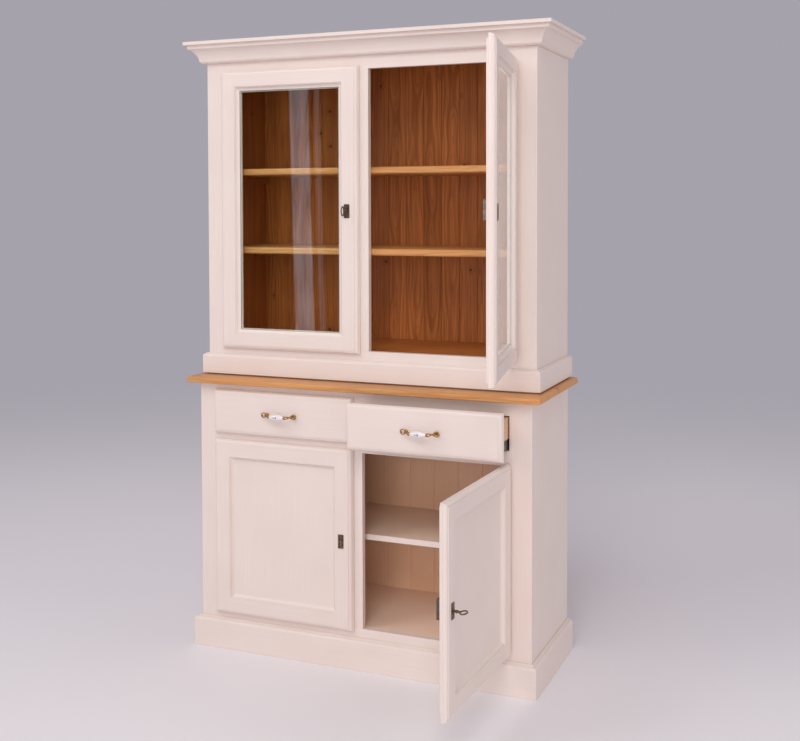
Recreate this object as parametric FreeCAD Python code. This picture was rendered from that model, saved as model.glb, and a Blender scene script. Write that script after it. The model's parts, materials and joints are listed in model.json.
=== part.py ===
"""Step back cupboard: a glazed upper case set back on a deeper lower case.

Millimetres. +Z is up, the front faces -Y. The origin is the centre of the plinth's
footprint, on the floor. The two right-hand doors stand open and the right-hand
drawer stands part way out; the rest is shut.
"""
import FreeCAD, Part
import math
import os

os.makedirs("parts", exist_ok=True)

Vec = FreeCAD.Vector
ORIGIN = Vec(0, 0, 0)
X_AXIS = Vec(1, 0, 0)
Y_AXIS = Vec(0, 1, 0)
Z_AXIS = Vec(0, 0, 1)
PAST = 5.0              # how far a cutting tool runs past the face it cuts

# ---- cases ---------------------------------------------------------------------
lower_depth = 419.0     # face frame included
upper_depth = 366.0
outer_stile = 69.5      # outer stiles of the lower face frame
upper_inset = 1.5       # upper case in from the lower one, at each side
board = 18.0            # sides, floors and the lower shelf
frame_thick = 20.0      # face frames
back_thick = 12.0
post_width = 38.0       # centre post of both face frames
opening_width = 480.0   # each of the two doorways

lower_base = 128.0      # floor to the top of the lower floor board
bottom_rail = 68.0
lower_opening = 557.0
middle_rail = 45.0
drawer_opening = 105.0
top_rail = 43.0
upper_bottom_rail = 100.0
upper_opening = 892.0
upper_top_rail = 100.0

worktop_thick = 20.0
worktop_overhang = 33.5
worktop_top_round = 9.0
worktop_bottom_round = 4.0

lower_shelf_height = 288.0      # above the lower floor board
lower_shelf_setback = 49.0      # behind the front of the face frame
upper_shelf_heights = (325.0, 584.0)    # tops, above the upper floor board
upper_shelf_thick = 22.0
upper_shelf_setback = 25.0
upper_shelf_round = 7.0
cleat = 20.0
lower_board_pitch = 88.0
lower_board_first = 15.0        # a joint line of the lower back
upper_board_pitch = 64.4
upper_board_first = 2.1
board_chamfer = 2.0             # V joint between back boards

# ---- mouldings -----------------------------------------------------------------
plinth_projection = 19.0
plinth_height = 84.5
plinth_moulding = 15.0          # height of the moulded top
plinth_round = 10.5
base_projection = 16.0
base_height = 55.5
base_moulding = 10.0
base_round = 7.0
base_gap = 5.0                  # base moulding clear of the worktop
moulded_step = 1.5              # between the round and the cove of a moulded top
cornice_projection = 58.0
cornice_height = 69.0
cornice_rise = 10.0             # above the upper case
cornice_fillet = 11.0           # height of the top fillet
cornice_fillet_lip = 10.3
cornice_bead = 13.5             # height of the bead under it
cornice_bead_round = 3.7
cornice_ledge = 1.5             # between the bead and the hollow
cornice_hollow_sag = 3.7        # the hollow's depth behind a straight slope
cornice_foot_out = 19.3
cornice_foot_round = 12.0

# ---- doors and drawer fronts ---------------------------------------------------
lip = 10.0                      # how far a door laps the frame round its opening
proud = 20.0                    # outer face of a door ahead of the face frame
lip_gap = 0.7                   # lip clear of the face frame
tongue = 6.5                    # rebated part that stands inside the opening
tongue_clearance = 1.75
edge_width = 12.5               # moulding round a door's edge
edge_depth = 12.0
edge_step = 2.0
edge_flat = 1.5
edge_quirk = 1.0                # flat between the moulding and the step
door_stile_flat = 58.0          # lip edge to the inner moulding
door_rail_flat = 55.0
door_moulding = 17.0            # sloping moulding round the panel
sight_flat = 3.5                # its flat beside the panel or the glass
sight_quirk = 2.4               # its flat below the step
sight_hollow = 2.0              # how far it dips below a straight slope
door_recess = 12.0
panel_thick = 8.0
panel_groove = 10.0
glazed_stile_flat = 55.0
glazed_rail_flat = 50.0
glazed_moulding = 18.0
glass_thick = 3.0
glass_rebate = 7.0
glass_clearance = 0.4
bead_thick = 9.0
lower_open_angle = 87.6
upper_open_angle = 100.5
drawer_lip_below = 16.0
drawer_lip_above = 23.0
drawer_open = 84.0

# ---- drawers -------------------------------------------------------------------
drawer_side_clearance = 4.5
drawer_side_thick = 15.0
drawer_top_gap = 5.0            # side below the top of the opening
drawer_side_lift = 36.0         # side above the bottom of the opening
drawer_back_gap = 30.5          # drawer clear of the back boards
drawer_back_thick = 15.0
drawer_bottom_thick = 5.0
drawer_bottom_up = 5.0
drawer_groove = 6.0
runner_metal = 1.5
runner_drop = 32.0
channel_height = 30.0
channel_flange = 10.0
channel_back_gap = 42.0         # channel clear of the back boards
channel_web_gap = 1.5
roller_radius = 11.0
roller_width = 8.0
roller_gap = 0.3
roller_axle = 2.0
axle_clearance = 0.05
front_roller_back = 19.0        # behind the face frame
rear_roller_in = 26.0           # from the drawer's back end
bearer_height = 30.0
bearer_past = 5.0

# ---- pivot hinges --------------------------------------------------------------
pivot_from_edge = 5.5           # pin inside the door's hinge edge
pivot_from_face = 6.5           # pin behind the door's outer face
pivot_pin = 2.0                 # radius
pivot_nose = 4.0                # radius
leaf_thick = 2.5
leaf_gap = 0.3
strip_width = 7.0
leaf_length = 27.0
leaf_clearance = 2.0            # leaf inside the opening's edge
pocket_reach = 60.0             # how far the strip's pocket is cut
door_leaf_length = 30.0
door_leaf_width = 8.0
lip_corner_round = 3.0
open_limit = 105.0

# ---- locks and keys ------------------------------------------------------------
key_backset = 38.0              # keyhole from the latch edge of the door
lower_key_height = 286.0        # above the lower edge of the door
upper_key_height = 454.0
lock_width = 40.0
lock_height = 55.0
lock_thick = 9.0
lock_setback = 1.0
bolt_height = 10.0
bolt_thick = 3.0
bolt_length = 21.0
bolt_up = 13.0                  # bolt's centre above the keyhole
bolt_back = 4.5                 # bolt behind the door's inner face
bolt_throw = 9.0
bolt_clearance = 0.1
mortise_spare = 1.0
bit_clearance = 0.5
collar_clearance = 2.0          # key's collar ahead of the plate
plate_width = 19.0
plate_height = 44.0
plate_thick = 1.5
plate_round = 2.0
keyhole_radius = 3.0
keyhole_slot = 2.8
keyhole_drop = 10.5
key_shank = 2.5
key_bow_high = 33.0
key_bow_long = 22.0
key_bow_thick = 3.4
key_bow_ring = 4.2
key_reach = 31.0                # bow's centre ahead of the door's face
key_collar = 4.4
key_collar_long = 5.0
key_bit_long = 9.0
key_bit_thick = 2.0
key_bit_in = 1.5                # bit behind the door's inner face
key_end_in = 7.5

# ---- drawer handles ------------------------------------------------------------
handle_spacing = 96.0
handle_lift = 2.0               # above the middle of the drawer front
handle_foot = 6.0               # radius
handle_foot_thick = 3.0
handle_rod = 3.0                # radius
handle_post = 14.0              # drawer front to the middle of the end rings
handle_knob = 4.0               # radius, where post, ring and arm meet
handle_knob_thick = 4.0
handle_ring = 7.2               # radius of a ring's middle line
handle_ring_out = 6.5           # ring's centre beyond its post
handle_strand = 1.7             # radius of the ring's bar
handle_arm = 2.5                # radius
handle_reach = 29.0             # grip's centre ahead of the drawer front
handle_sag = 2.0
handle_collar = 4.0
handle_collar_radius = 4.2
grip_length = 53.0
grip_radius = 10.0
grip_end_radius = 3.6
handle_bolt = 2.0
handle_bolt_head = 4.0
grip_core = 1.8                 # radius of the rod through the grip

# ---- places worked out from the sizes ------------------------------------------
y_back = (lower_depth + plinth_projection) / 2
y_lower = y_back - lower_depth              # front of the lower face frame
y_upper = y_back - upper_depth              # front of the upper face frame
half_post = post_width / 2
x_opening = half_post + opening_width       # outer edge of each opening
half_lower = x_opening + outer_stile
half_upper = half_lower - upper_inset
z_lower_opening = lower_base + lower_opening
z_drawer = z_lower_opening + middle_rail
z_drawer_top = z_drawer + drawer_opening
z_lower_top = z_drawer_top + top_rail
z_worktop = z_lower_top + worktop_thick
z_upper_base = z_worktop + upper_bottom_rail
z_upper_opening = z_upper_base + upper_opening
z_upper_top = z_upper_opening + upper_top_rail
z_top = z_upper_top + cornice_rise
lower_inner = half_lower - board
upper_inner = half_upper - board
y_lower_inner = y_lower + frame_thick
y_upper_inner = y_upper + frame_thick
y_inner_back = y_back - back_thick
door_thick = proud + tongue


# ---- small helpers -------------------------------------------------------------
def box(x0, x1, y0, y1, z0, z1):
    """A box between two corners."""
    return Part.makeBox(x1 - x0, y1 - y0, z1 - z0, Vec(x0, y0, z0))


def on_axis(axis, a, b, along):
    """The point whose two coordinates across an axis are a and b, in X, Y, Z order."""
    if axis == "x":
        return Vec(along, a, b)
    if axis == "y":
        return Vec(a, along, b)
    return Vec(a, b, along)


def quarter(centre, start, end):
    """A quarter turn from start to end, as the two points that prism takes for an arc."""
    share = math.sqrt(0.5)
    through = tuple(c + share * (s + e - 2 * c) for c, s, e in zip(centre, start, end))
    return through, end


def bowed(start, end, sag):
    """An arc from start to end that stands sag to the left of the straight line."""
    across, up = end[0] - start[0], end[1] - start[1]
    length = math.hypot(across, up)
    through = ((start[0] + end[0]) / 2 - up / length * sag, (start[1] + end[1]) / 2 + across / length * sag)
    return through, end


def prism(axis, outline, start, end):
    """An outline pushed along an axis. A step of two points is an arc: through, to."""
    edges = []
    here = on_axis(axis, *outline[0], start)
    first = here
    for step in outline[1:] + [outline[0]]:
        if isinstance(step[0], tuple):
            through = on_axis(axis, *step[0], start)
            there = on_axis(axis, *step[1], start)
            edges.append(Part.Arc(here, through, there).toShape())
        else:
            there = on_axis(axis, *step, start)
            if there.distanceToPoint(here) > 1e-6:
                edges.append(Part.LineSegment(here, there).toShape())
        here = there
    if here.distanceToPoint(first) > 1e-6:
        edges.append(Part.LineSegment(here, first).toShape())
    face = Part.Face(Part.Wire(edges))
    return face.extrude(on_axis(axis, 0, 0, end - start))


def rod(radius, start, end):
    """A round bar between two points."""
    return Part.makeCylinder(radius, (end - start).Length, start, end - start)


def mirrored(shape):
    """The left-hand twin of a right-hand shape."""
    return shape.mirror(ORIGIN, X_AXIS)


def both_sides(shape):
    """A right-hand shape and its left-hand twin."""
    return [shape, mirrored(shape)]


def save(node, shapes):
    """Writes one node: every solid of the shapes given."""
    solids = [solid for shape in shapes for solid in shape.Solids]
    Part.makeCompound(solids).exportStep("parts/" + node + ".step")


# ---- mouldings that run round the front and the two sides of a case -------------
def run_round(half_width, y_front, projection_steps):
    """A moulding whose projection is given by height, mitred at the front corners.

    Each step is (projection, z), or an arc as (through, to) of such pairs.
    """
    def shifted(step, sign, base):
        if isinstance(step[0], tuple):
            return tuple((base + sign * p, z) for p, z in step)
        return (base + sign * step[0], step[1])

    across = [shifted(step, 1, half_width) for step in projection_steps]
    low = projection_steps[0][1]
    high = projection_steps[-1][1]
    right = prism("y", [(0, low)] + across + [(0, high)], y_front - 2 * cornice_projection, y_back)
    widths = right.fuse(mirrored(right)).removeSplitter()
    ahead = [shifted(step, -1, y_front) for step in projection_steps]
    reach = half_width + 2 * cornice_projection
    depths = prism("x", [(y_back, low)] + ahead + [(y_back, high)], -reach, reach)
    block = widths.common(depths)
    hollow = box(-half_width, half_width, y_front, y_back + PAST, low - PAST, high + PAST)
    ring = block.cut(hollow)
    far = 2 * cornice_projection
    mitre = [(-half_width, y_front), (-half_width - far, y_front - far),
             (half_width + far, y_front - far), (half_width, y_front)]
    front_region = prism("z", mitre, low - PAST, high + PAST)
    return ring.common(front_region).Solids + ring.cut(front_region).Solids


def moulded_top(projection, z, height, radius):
    """The moulded top of a base board: a quarter round, a small step and a cove."""
    x_round = projection - radius
    cove = height - radius - moulded_step
    x_cove = x_round - cove
    foot = (x_round, z + radius + moulded_step)
    return [(projection, z), quarter((x_round, z), (projection, z), (x_round, z + radius)), foot,
            quarter((x_round, z + height), foot, (x_cove, z + height)), (0, z + height)]


def make_plinth():
    """Plinth: three boards, mitred at the front, with a moulded top."""
    top = moulded_top(plinth_projection, plinth_height, plinth_moulding, plinth_round)
    save("plinth", run_round(half_lower, y_lower, [(plinth_projection, 0.0)] + top))


def make_base_moulding():
    """Base moulding of the upper case, held a little above the worktop."""
    low = z_worktop + base_gap
    top = moulded_top(base_projection, low + base_height, base_moulding, base_round)
    save("base_moulding", run_round(half_upper, y_upper, [(base_projection, low)] + top))


def make_cornice():
    """Cornice: fillet, bead, and a cyma that is hollow above and round at the foot."""
    z_foot = z_top - cornice_height
    z_fillet = z_top - cornice_fillet
    z_bead = z_fillet - cornice_bead
    bead_face = cornice_projection - cornice_fillet_lip
    bead_back = bead_face - cornice_bead_round
    z_bead_face = z_bead + cornice_bead_round
    hollow_end = (bead_back - cornice_ledge, z_bead)
    foot_back = cornice_foot_out - cornice_foot_round
    z_hollow = z_foot + cornice_foot_round
    hollow_start = (cornice_foot_out, z_hollow)
    steps = [(0, z_foot), (foot_back, z_foot),
             quarter((foot_back, z_hollow), (foot_back, z_foot), hollow_start),
             bowed(hollow_start, hollow_end, cornice_hollow_sag), (bead_back, z_bead),
             quarter((bead_back, z_bead_face), (bead_back, z_bead), (bead_face, z_bead_face)),
             (bead_face, z_fillet), (cornice_projection, z_fillet), (cornice_projection, z_top), (0, z_top)]
    save("cornice", run_round(half_upper, y_upper, steps))


# ---- lower case ----------------------------------------------------------------
def make_lower_case():
    """Sides, floor, shelf, bearers and face frame of the lower case."""
    side = box(lower_inner, half_lower, y_lower_inner, y_back, 0, z_lower_top)
    save("lower_sides", both_sides(side))
    floor = box(-lower_inner, lower_inner, y_lower_inner, y_inner_back, lower_base - board, lower_base)
    save("lower_floor", [floor])
    shelf_top = lower_base + lower_shelf_height
    shelf = box(-lower_inner, lower_inner, y_lower + lower_shelf_setback, y_inner_back,
                shelf_top - board, shelf_top)
    save("lower_shelf", [shelf])

    half_bearer = cleat
    middle = box(-half_bearer, half_bearer, y_lower_inner, y_inner_back, 0, lower_base - board)
    outer = box(opening_width - cleat, opening_width + cleat, y_lower_inner, y_inner_back,
                0, lower_base - board)
    save("plinth_bearers", [middle] + both_sides(outer))

    stile = box(x_opening, half_lower, y_lower, y_lower_inner, 0, z_lower_top)
    low = box(-x_opening, x_opening, y_lower, y_lower_inner, lower_base - bottom_rail, lower_base)
    high = box(-x_opening, x_opening, y_lower, y_lower_inner, z_drawer_top, z_lower_top)
    middle_part = box(half_post, x_opening, y_lower, y_lower_inner, z_lower_opening, z_drawer)
    post = box(-half_post, half_post, y_lower, y_lower_inner, lower_base, z_drawer_top)
    post = post.cut(bolt_mortise(y_lower, lower_base - lip + lower_key_height))
    save("lower_face_frame", both_sides(stile) + [low, high, post] + both_sides(middle_part))


def make_worktop():
    """Worktop: overhangs the front and the sides, flush at the back, arrises rounded."""
    r = worktop_top_round
    s = worktop_bottom_round
    edge = half_lower + worktop_overhang
    front = y_lower - worktop_overhang
    z0 = z_lower_top
    z1 = z_worktop

    def rounded(reach, sign, base):
        """The edge's outline, from the bottom face to the top face."""
        face = base + sign * reach
        low = (face - sign * s, z0)
        high = (face, z1 - r)
        return [low, quarter((face - sign * s, z0 + s), low, (face, z0 + s)),
                high, quarter((face - sign * r, z1 - r), high, (face - sign * r, z1))]

    right = prism("y", [(0, z0)] + rounded(edge, 1, 0) + [(0, z1)], front - PAST, y_back)
    widths = right.fuse(mirrored(right)).removeSplitter()
    ahead = rounded(y_back - front, -1, y_back)
    depths = prism("x", [(y_back, z0)] + ahead + [(y_back, z1)], -edge - PAST, edge + PAST)
    save("worktop", [widths.common(depths)])


def make_inner_battens():
    """Battens screwed inside the cases: drawer bearers, kickers and shelf cleats."""
    y0 = y_lower_inner
    y1 = y_inner_back
    web = x_opening - drawer_side_clearance - drawer_side_thick
    inner_web = half_post + drawer_side_clearance + drawer_side_thick
    z_bearer = z_drawer - bearer_height
    battens = both_sides(box(web - bearer_past, lower_inner, y0, y1, z_bearer, z_drawer))
    battens.append(box(-inner_web - bearer_past, inner_web + bearer_past, y0, y1, z_bearer, z_drawer))
    battens += both_sides(box(x_opening, lower_inner, y0, y1, z_drawer_top, z_lower_top))
    battens.append(box(-half_post, half_post, y0, y1, z_drawer_top, z_lower_top))
    shelf_under = lower_base + lower_shelf_height - board
    y_shelf = y_lower + lower_shelf_setback
    battens += both_sides(box(lower_inner - cleat, lower_inner, y_shelf + cleat, y1,
                              shelf_under - cleat, shelf_under))
    for height in upper_shelf_heights:
        under = z_upper_base + height - upper_shelf_thick
        battens += both_sides(box(upper_inner - cleat, upper_inner,
                                  y_upper + upper_shelf_setback + cleat, y1, under - cleat, under))
    save("inner_battens", battens)


# ---- upper case ----------------------------------------------------------------
def make_upper_case():
    """Sides, top and floor boards, shelves and face frame of the upper case."""
    side = box(upper_inner, half_upper, y_upper_inner, y_back, z_worktop, z_upper_top)
    save("upper_sides", both_sides(side))
    floor = box(-upper_inner, upper_inner, y_upper_inner, y_inner_back, z_upper_base - board, z_upper_base)
    top = box(-upper_inner, upper_inner, y_upper_inner, y_inner_back, z_upper_top - board, z_upper_top)
    save("upper_top_and_floor", [floor, top])

    shelves = []
    y0 = y_upper + upper_shelf_setback
    r = upper_shelf_round
    for height in upper_shelf_heights:
        z1 = z_upper_base + height
        z0 = z1 - upper_shelf_thick
        outline = [(y_inner_back, z0), (y0 + r, z0), quarter((y0 + r, z0 + r), (y0 + r, z0), (y0, z0 + r)),
                   (y0, z1 - r), quarter((y0 + r, z1 - r), (y0, z1 - r), (y0 + r, z1)), (y_inner_back, z1)]
        shelves.append(prism("x", outline, -upper_inner, upper_inner))
    save("upper_shelves", shelves)

    stile = box(x_opening, half_upper, y_upper, y_upper_inner, z_worktop, z_upper_top)
    low = box(-x_opening, x_opening, y_upper, y_upper_inner, z_worktop, z_upper_base)
    high = box(-x_opening, x_opening, y_upper, y_upper_inner, z_upper_opening, z_upper_top)
    post = box(-half_post, half_post, y_upper, y_upper_inner, z_upper_base, z_upper_opening)
    post = post.cut(bolt_mortise(y_upper, z_upper_base - lip + upper_key_height))
    save("upper_face_frame", both_sides(stile) + [low, high, post])


def make_back(node, half_width, z0, z1, pitch, first):
    """Vertical back boards with V joints on the inner face."""
    joints = []
    start = first - math.floor((first + half_width) / pitch) * pitch
    at = start
    while at < half_width:
        joints.append(at)
        at += pitch
    edges = [-half_width] + [x for x in joints if abs(abs(x) - half_width) > pitch / 8] + [half_width]
    c = board_chamfer
    boards = []
    for left, right in zip(edges, edges[1:]):
        y0 = y_inner_back
        outline = [(left, y_back), (left, y0 + c), (left + c, y0), (right - c, y0),
                   (right, y0 + c), (right, y_back)]
        boards.append(prism("z", outline, z0, z1))
    save(node, boards)


# ---- doors, built shut and right-handed ----------------------------------------
def bolt_mortise(y_frame, key_z):
    """The two slots that a door's bolts shoot into, one in each side of the post."""
    y0 = y_frame - proud + door_thick + bolt_back - mortise_spare / 2
    z0 = key_z + bolt_up - (bolt_height + mortise_spare) / 2
    depth = bolt_throw - lock_setback - tongue_clearance + mortise_spare
    slot = box(half_post - depth, half_post + PAST, y0, y0 + bolt_thick + mortise_spare,
               z0, z0 + bolt_height + mortise_spare)
    return slot.fuse(mirrored(slot))


def lipped_slab(x0, x1, z0, z1, y_face):
    """The lapping front of a door or drawer: an ovolo between two steps on all four edges."""
    def outline(low, high):
        """The slab's section, from its back to its moulded front, as (place, y)."""
        y_seat = y_face + proud - lip_gap
        y_low = y_face + edge_depth
        y_high = y_face + edge_step
        near = edge_flat
        far = edge_width - edge_quirk
        first = (low + near, y_low)
        last = (high - far, y_high)
        return [(low, y_seat), (low, y_low), first,
                quarter((low + far, y_low), first, (low + far, y_high)),
                (low + edge_width, y_high), (low + edge_width, y_face),
                (high - edge_width, y_face), (high - edge_width, y_high), last,
                quarter((high - far, y_low), last, (high - near, y_low)), (high, y_low), (high, y_seat)]

    def turned(step):
        if isinstance(step[0], tuple):
            return tuple((y, z) for z, y in step)
        return (step[1], step[0])

    upright = prism("z", outline(x0, x1), z0, z1)
    level = prism("x", [turned(step) for step in outline(z0, z1)], x0, x1)
    return upright.common(level)


def sight_cut(x0, x1, z0, z1, y_face, moulding):
    """What is cut from a door for its panel: a hole with a moulding that slopes in."""
    y_end = y_face + door_thick + PAST

    def outline(low, high):
        deep = y_face + door_recess
        shallow = y_face + edge_step
        slope_end = moulding - sight_quirk
        first = (low - sight_flat, deep)
        last = (high + slope_end, shallow)
        return [(low, y_end), (low, deep), first,
                bowed(first, (low - slope_end, shallow), -sight_hollow),
                (low - moulding, shallow), (low - moulding, y_face - PAST),
                (high + moulding, y_face - PAST), (high + moulding, shallow), last,
                bowed(last, (high + sight_flat, deep), -sight_hollow), (high, deep), (high, y_end)]

    def turned(step):
        if isinstance(step[0], tuple):
            return tuple((y, z) for z, y in step)
        return (step[1], step[0])

    far = 2 * moulding
    upright = prism("z", outline(x0, x1), z0 - far, z1 + far)
    level = prism("x", [turned(step) for step in outline(z0, z1)], x0 - far, x1 + far)
    return upright.common(level)


def split_frame(frame, outer, sight, flat_x, y_face):
    """Cuts a door frame into two stiles and two rails, mitred across the moulding."""
    x0, x1, z0, z1 = outer
    sx0, sx1, sz0, sz1 = sight
    moulding = sx0 - x0 - flat_x
    y0 = y_face - PAST
    y1 = y_face + door_thick + PAST
    pieces = []
    for low_z, in_z, sight_z in ((z0 - PAST, sz0 - moulding, sz0), (z1 + PAST, sz1 + moulding, sz1)):
        region = prism("y", [(x0 + flat_x, low_z), (x0 + flat_x, in_z), (sx0, sight_z),
                             (sx1, sight_z), (x1 - flat_x, in_z), (x1 - flat_x, low_z)], y0, y1)
        pieces.append(frame.common(region))
        frame = frame.cut(region)
    return frame.Solids + [solid for piece in pieces for solid in piece.Solids]


def keyhole(x, z, y0, y1):
    """A keyhole: a round hole with a slot under it, for the key's bit."""
    hole = rod(keyhole_radius, Vec(x, y0, z), Vec(x, y1, z))
    slot = box(x - keyhole_slot / 2, x + keyhole_slot / 2, y0, y1, z - keyhole_drop, z)
    return hole.fuse(slot)


def hinge_pin_place(y_frame):
    """Where a right-hand door turns, in plan."""
    return x_opening + lip - pivot_from_edge, y_frame - proud + pivot_from_face


def strip_line(y_frame):
    """The cranked strip's centre line in plan: from the pin to just inside the opening."""
    px, py = hinge_pin_place(y_frame)
    lean = px - x_opening + leaf_clearance + strip_width / 2
    return Vec(px, py, 0), Vec(px - lean - strip_width / 4, y_frame + strip_width / 2, 0)


def strip_outline(start, end, half_width, past):
    """The four corners of a straight strip in plan, run on past its far end."""
    along = (end - start).normalize()
    side = Vec(-along.y, along.x, 0) * half_width
    far = end + along * past
    corners = [start + side, far + side, far - side, start - side]
    return [(c.x, c.y) for c in corners]


def frame_leaf(y_frame, z_edge, up):
    """The case's half of a pivot hinge: leaf, cranked strip, nose and pin, in one piece.

    z_edge is the opening's edge that the leaf lies on. up is 1 under a rail and -1 on one.
    """
    z0, z1 = sorted((z_edge, z_edge - up * leaf_thick))
    px, py = hinge_pin_place(y_frame)
    start, end = strip_line(y_frame)
    leaf = box(x_opening - leaf_clearance - leaf_length, x_opening - leaf_clearance,
               y_frame, y_frame + frame_thick, z0, z1)
    strip = prism("z", strip_outline(start, end, strip_width / 2, 0), z0, z1)
    nose = rod(pivot_nose, Vec(px, py, z0), Vec(px, py, z1))
    pin_end = z_edge - up * (leaf_thick + leaf_gap + leaf_thick)
    pin = rod(pivot_pin, Vec(px, py, z_edge - up * leaf_thick / 2), Vec(px, py, pin_end))
    return leaf.fuse([strip, nose, pin]).removeSplitter()


def hinge_pocket(y_frame, z_edge, up):
    """What a door gives up so that the cranked strip can pass as the door swings."""
    z0, z1 = sorted((z_edge + up * leaf_gap, z_edge - up * (leaf_thick + leaf_gap)))
    px, py = hinge_pin_place(y_frame)
    centre = Vec(px, py, 0)
    start, end = strip_line(y_frame)
    along = (end - start).normalize()
    reach = pocket_reach
    half_width = strip_width / 2 + leaf_gap
    first = Vec(-along.y, along.x, 0) * half_width
    turn = FreeCAD.Rotation(Z_AXIS, -open_limit)
    swung = turn.multVec(along)
    last = Vec(swung.y, -swung.x, 0) * half_width
    corners = [centre + first, centre + first + along * reach, centre + (along + swung) * reach,
               centre + last + swung * reach, centre + last]
    sector = prism("z", [(c.x, c.y) for c in corners], z0, z1)
    nose = rod(pivot_nose + leaf_gap, Vec(px, py, z0), Vec(px, py, z1))
    y_tongue = y_frame - lip_gap
    notch = box(px - reach, px + reach, y_tongue, y_tongue + tongue + PAST, z0, z1)
    return sector.fuse([nose, notch])


def door_leaf(y_frame, z_edge, up, grow=0.0):
    """The door's half of a pivot hinge, let in under the pocket. grow makes its recess."""
    px, py = hinge_pin_place(y_frame)
    z_near = z_edge - up * (leaf_thick + leaf_gap)
    z0, z1 = sorted((z_near, z_near - up * leaf_thick))
    plate = box(px - door_leaf_length, px + door_leaf_width / 2, py - door_leaf_width / 2,
                py + door_leaf_width / 2, z0, z1)
    if grow:
        return plate
    eye = pivot_pin + axle_clearance
    return plate.cut(rod(eye, Vec(px, py, z0 - PAST), Vec(px, py, z1 + PAST)))


def door_blank(y_frame, z0, z1):
    """A shut right-hand door before its panel is cut: lipped front, tongue, pockets."""
    y_face = y_frame - proud
    x0 = half_post - lip
    x1 = x_opening + lip
    slab = lipped_slab(x0, x1, z0 - lip, z1 + lip, y_face)
    c = tongue_clearance
    y_seat = y_face + proud - lip_gap
    back = box(half_post + c, x_opening - c, y_seat, y_face + door_thick, z0 + c, z1 - c)
    r = lip_corner_round
    start = (x1, y_seat - r)
    end = (x1 - r, y_seat)
    corner = prism("z", [(x1 + PAST, y_seat - r), start, quarter((x1 - r, y_seat - r), start, end),
                         (x1 - r, y_seat + PAST), (x1 + PAST, y_seat + PAST)],
                   z0 - lip - PAST, z1 + lip + PAST)
    blank = slab.cut(corner).fuse(back)
    for z_edge, up in ((z1, 1), (z0, -1)):
        blank = blank.cut(hinge_pocket(y_frame, z_edge, up))
        blank = blank.cut(door_leaf(y_frame, z_edge, up, grow=1.0))
    return blank.removeSplitter()


def lock_pieces(y_frame, key_z):
    """A rim lock shut in its right-hand door: case, bolt, plate and key."""
    y_face = y_frame - proud
    y_in = y_face + door_thick
    x_key = half_post - lip + key_backset
    x0 = half_post + tongue_clearance + lock_setback
    z_mid = key_z + bolt_up / 2
    case = box(x0, x0 + lock_width, y_in, y_in + lock_thick,
               z_mid - lock_height / 2, z_mid + lock_height / 2)
    y_bolt = y_in + bolt_back
    z_bolt = key_z + bolt_up
    g = bolt_clearance
    bolt = box(x0, x0 + bolt_length, y_bolt, y_bolt + bolt_thick, z_bolt - bolt_height / 2,
               z_bolt + bolt_height / 2)
    pocket = box(x0 - PAST, x0 + bolt_length + g, y_bolt - g, y_bolt + bolt_thick + g,
                 z_bolt - bolt_height / 2 - g, z_bolt + bolt_height / 2 + g)
    y_bit = y_in + key_bit_in
    room = bit_clearance
    turning = rod(key_bit_long + room, Vec(x_key, y_bit - room, key_z),
                  Vec(x_key, y_bit + key_bit_thick + room, key_z))
    socket = rod(key_shank + axle_clearance, Vec(x_key, y_in, key_z),
                 Vec(x_key, y_in + key_end_in + axle_clearance, key_z))
    entry = keyhole(x_key, key_z, y_in - PAST, y_bit)
    case = case.cut(pocket).cut(turning).cut(socket).cut(entry)

    plate = box(x_key - plate_width / 2, x_key + plate_width / 2, y_face - plate_thick, y_face,
                key_z - plate_height / 2, key_z + plate_height / 2)
    uprights = [edge for edge in plate.Edges if abs(edge.tangentAt(0).y) > 0.9]
    plate = plate.makeFillet(plate_round, uprights)
    plate = plate.cut(keyhole(x_key, key_z, y_face - 2 * plate_thick, y_face + PAST))

    y_bow = y_face - key_reach
    ring = Part.Ellipse(Vec(x_key, y_bow, key_z), key_bow_high / 2, key_bow_long / 2).toShape()
    hole = Part.Ellipse(Vec(x_key, y_bow, key_z), key_bow_high / 2 - key_bow_ring,
                        key_bow_long / 2 - key_bow_ring).toShape()
    plan = Part.Face(Part.Wire(ring)).cut(Part.Face(Part.Wire(hole)))
    bow = plan.extrude(Vec(0, 0, key_bow_thick))
    bow.translate(Vec(0, 0, -key_bow_thick / 2))
    bow.rotate(Vec(x_key, y_bow, key_z), Y_AXIS, 90)
    shank = rod(key_shank, Vec(x_key, y_bow + key_bow_long / 2 - key_bow_ring / 2, key_z),
                Vec(x_key, y_in + key_end_in, key_z))
    collar_end = y_face - plate_thick - collar_clearance
    collar = rod(key_collar, Vec(x_key, collar_end - key_collar_long, key_z), Vec(x_key, collar_end, key_z))
    bit = box(x_key - key_bit_thick / 2, x_key + key_bit_thick / 2, y_bit, y_bit + key_bit_thick,
              key_z - key_bit_long, key_z)
    key = bow.fuse([shank, collar, bit]).removeSplitter()
    return case, bolt, plate, key


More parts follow.
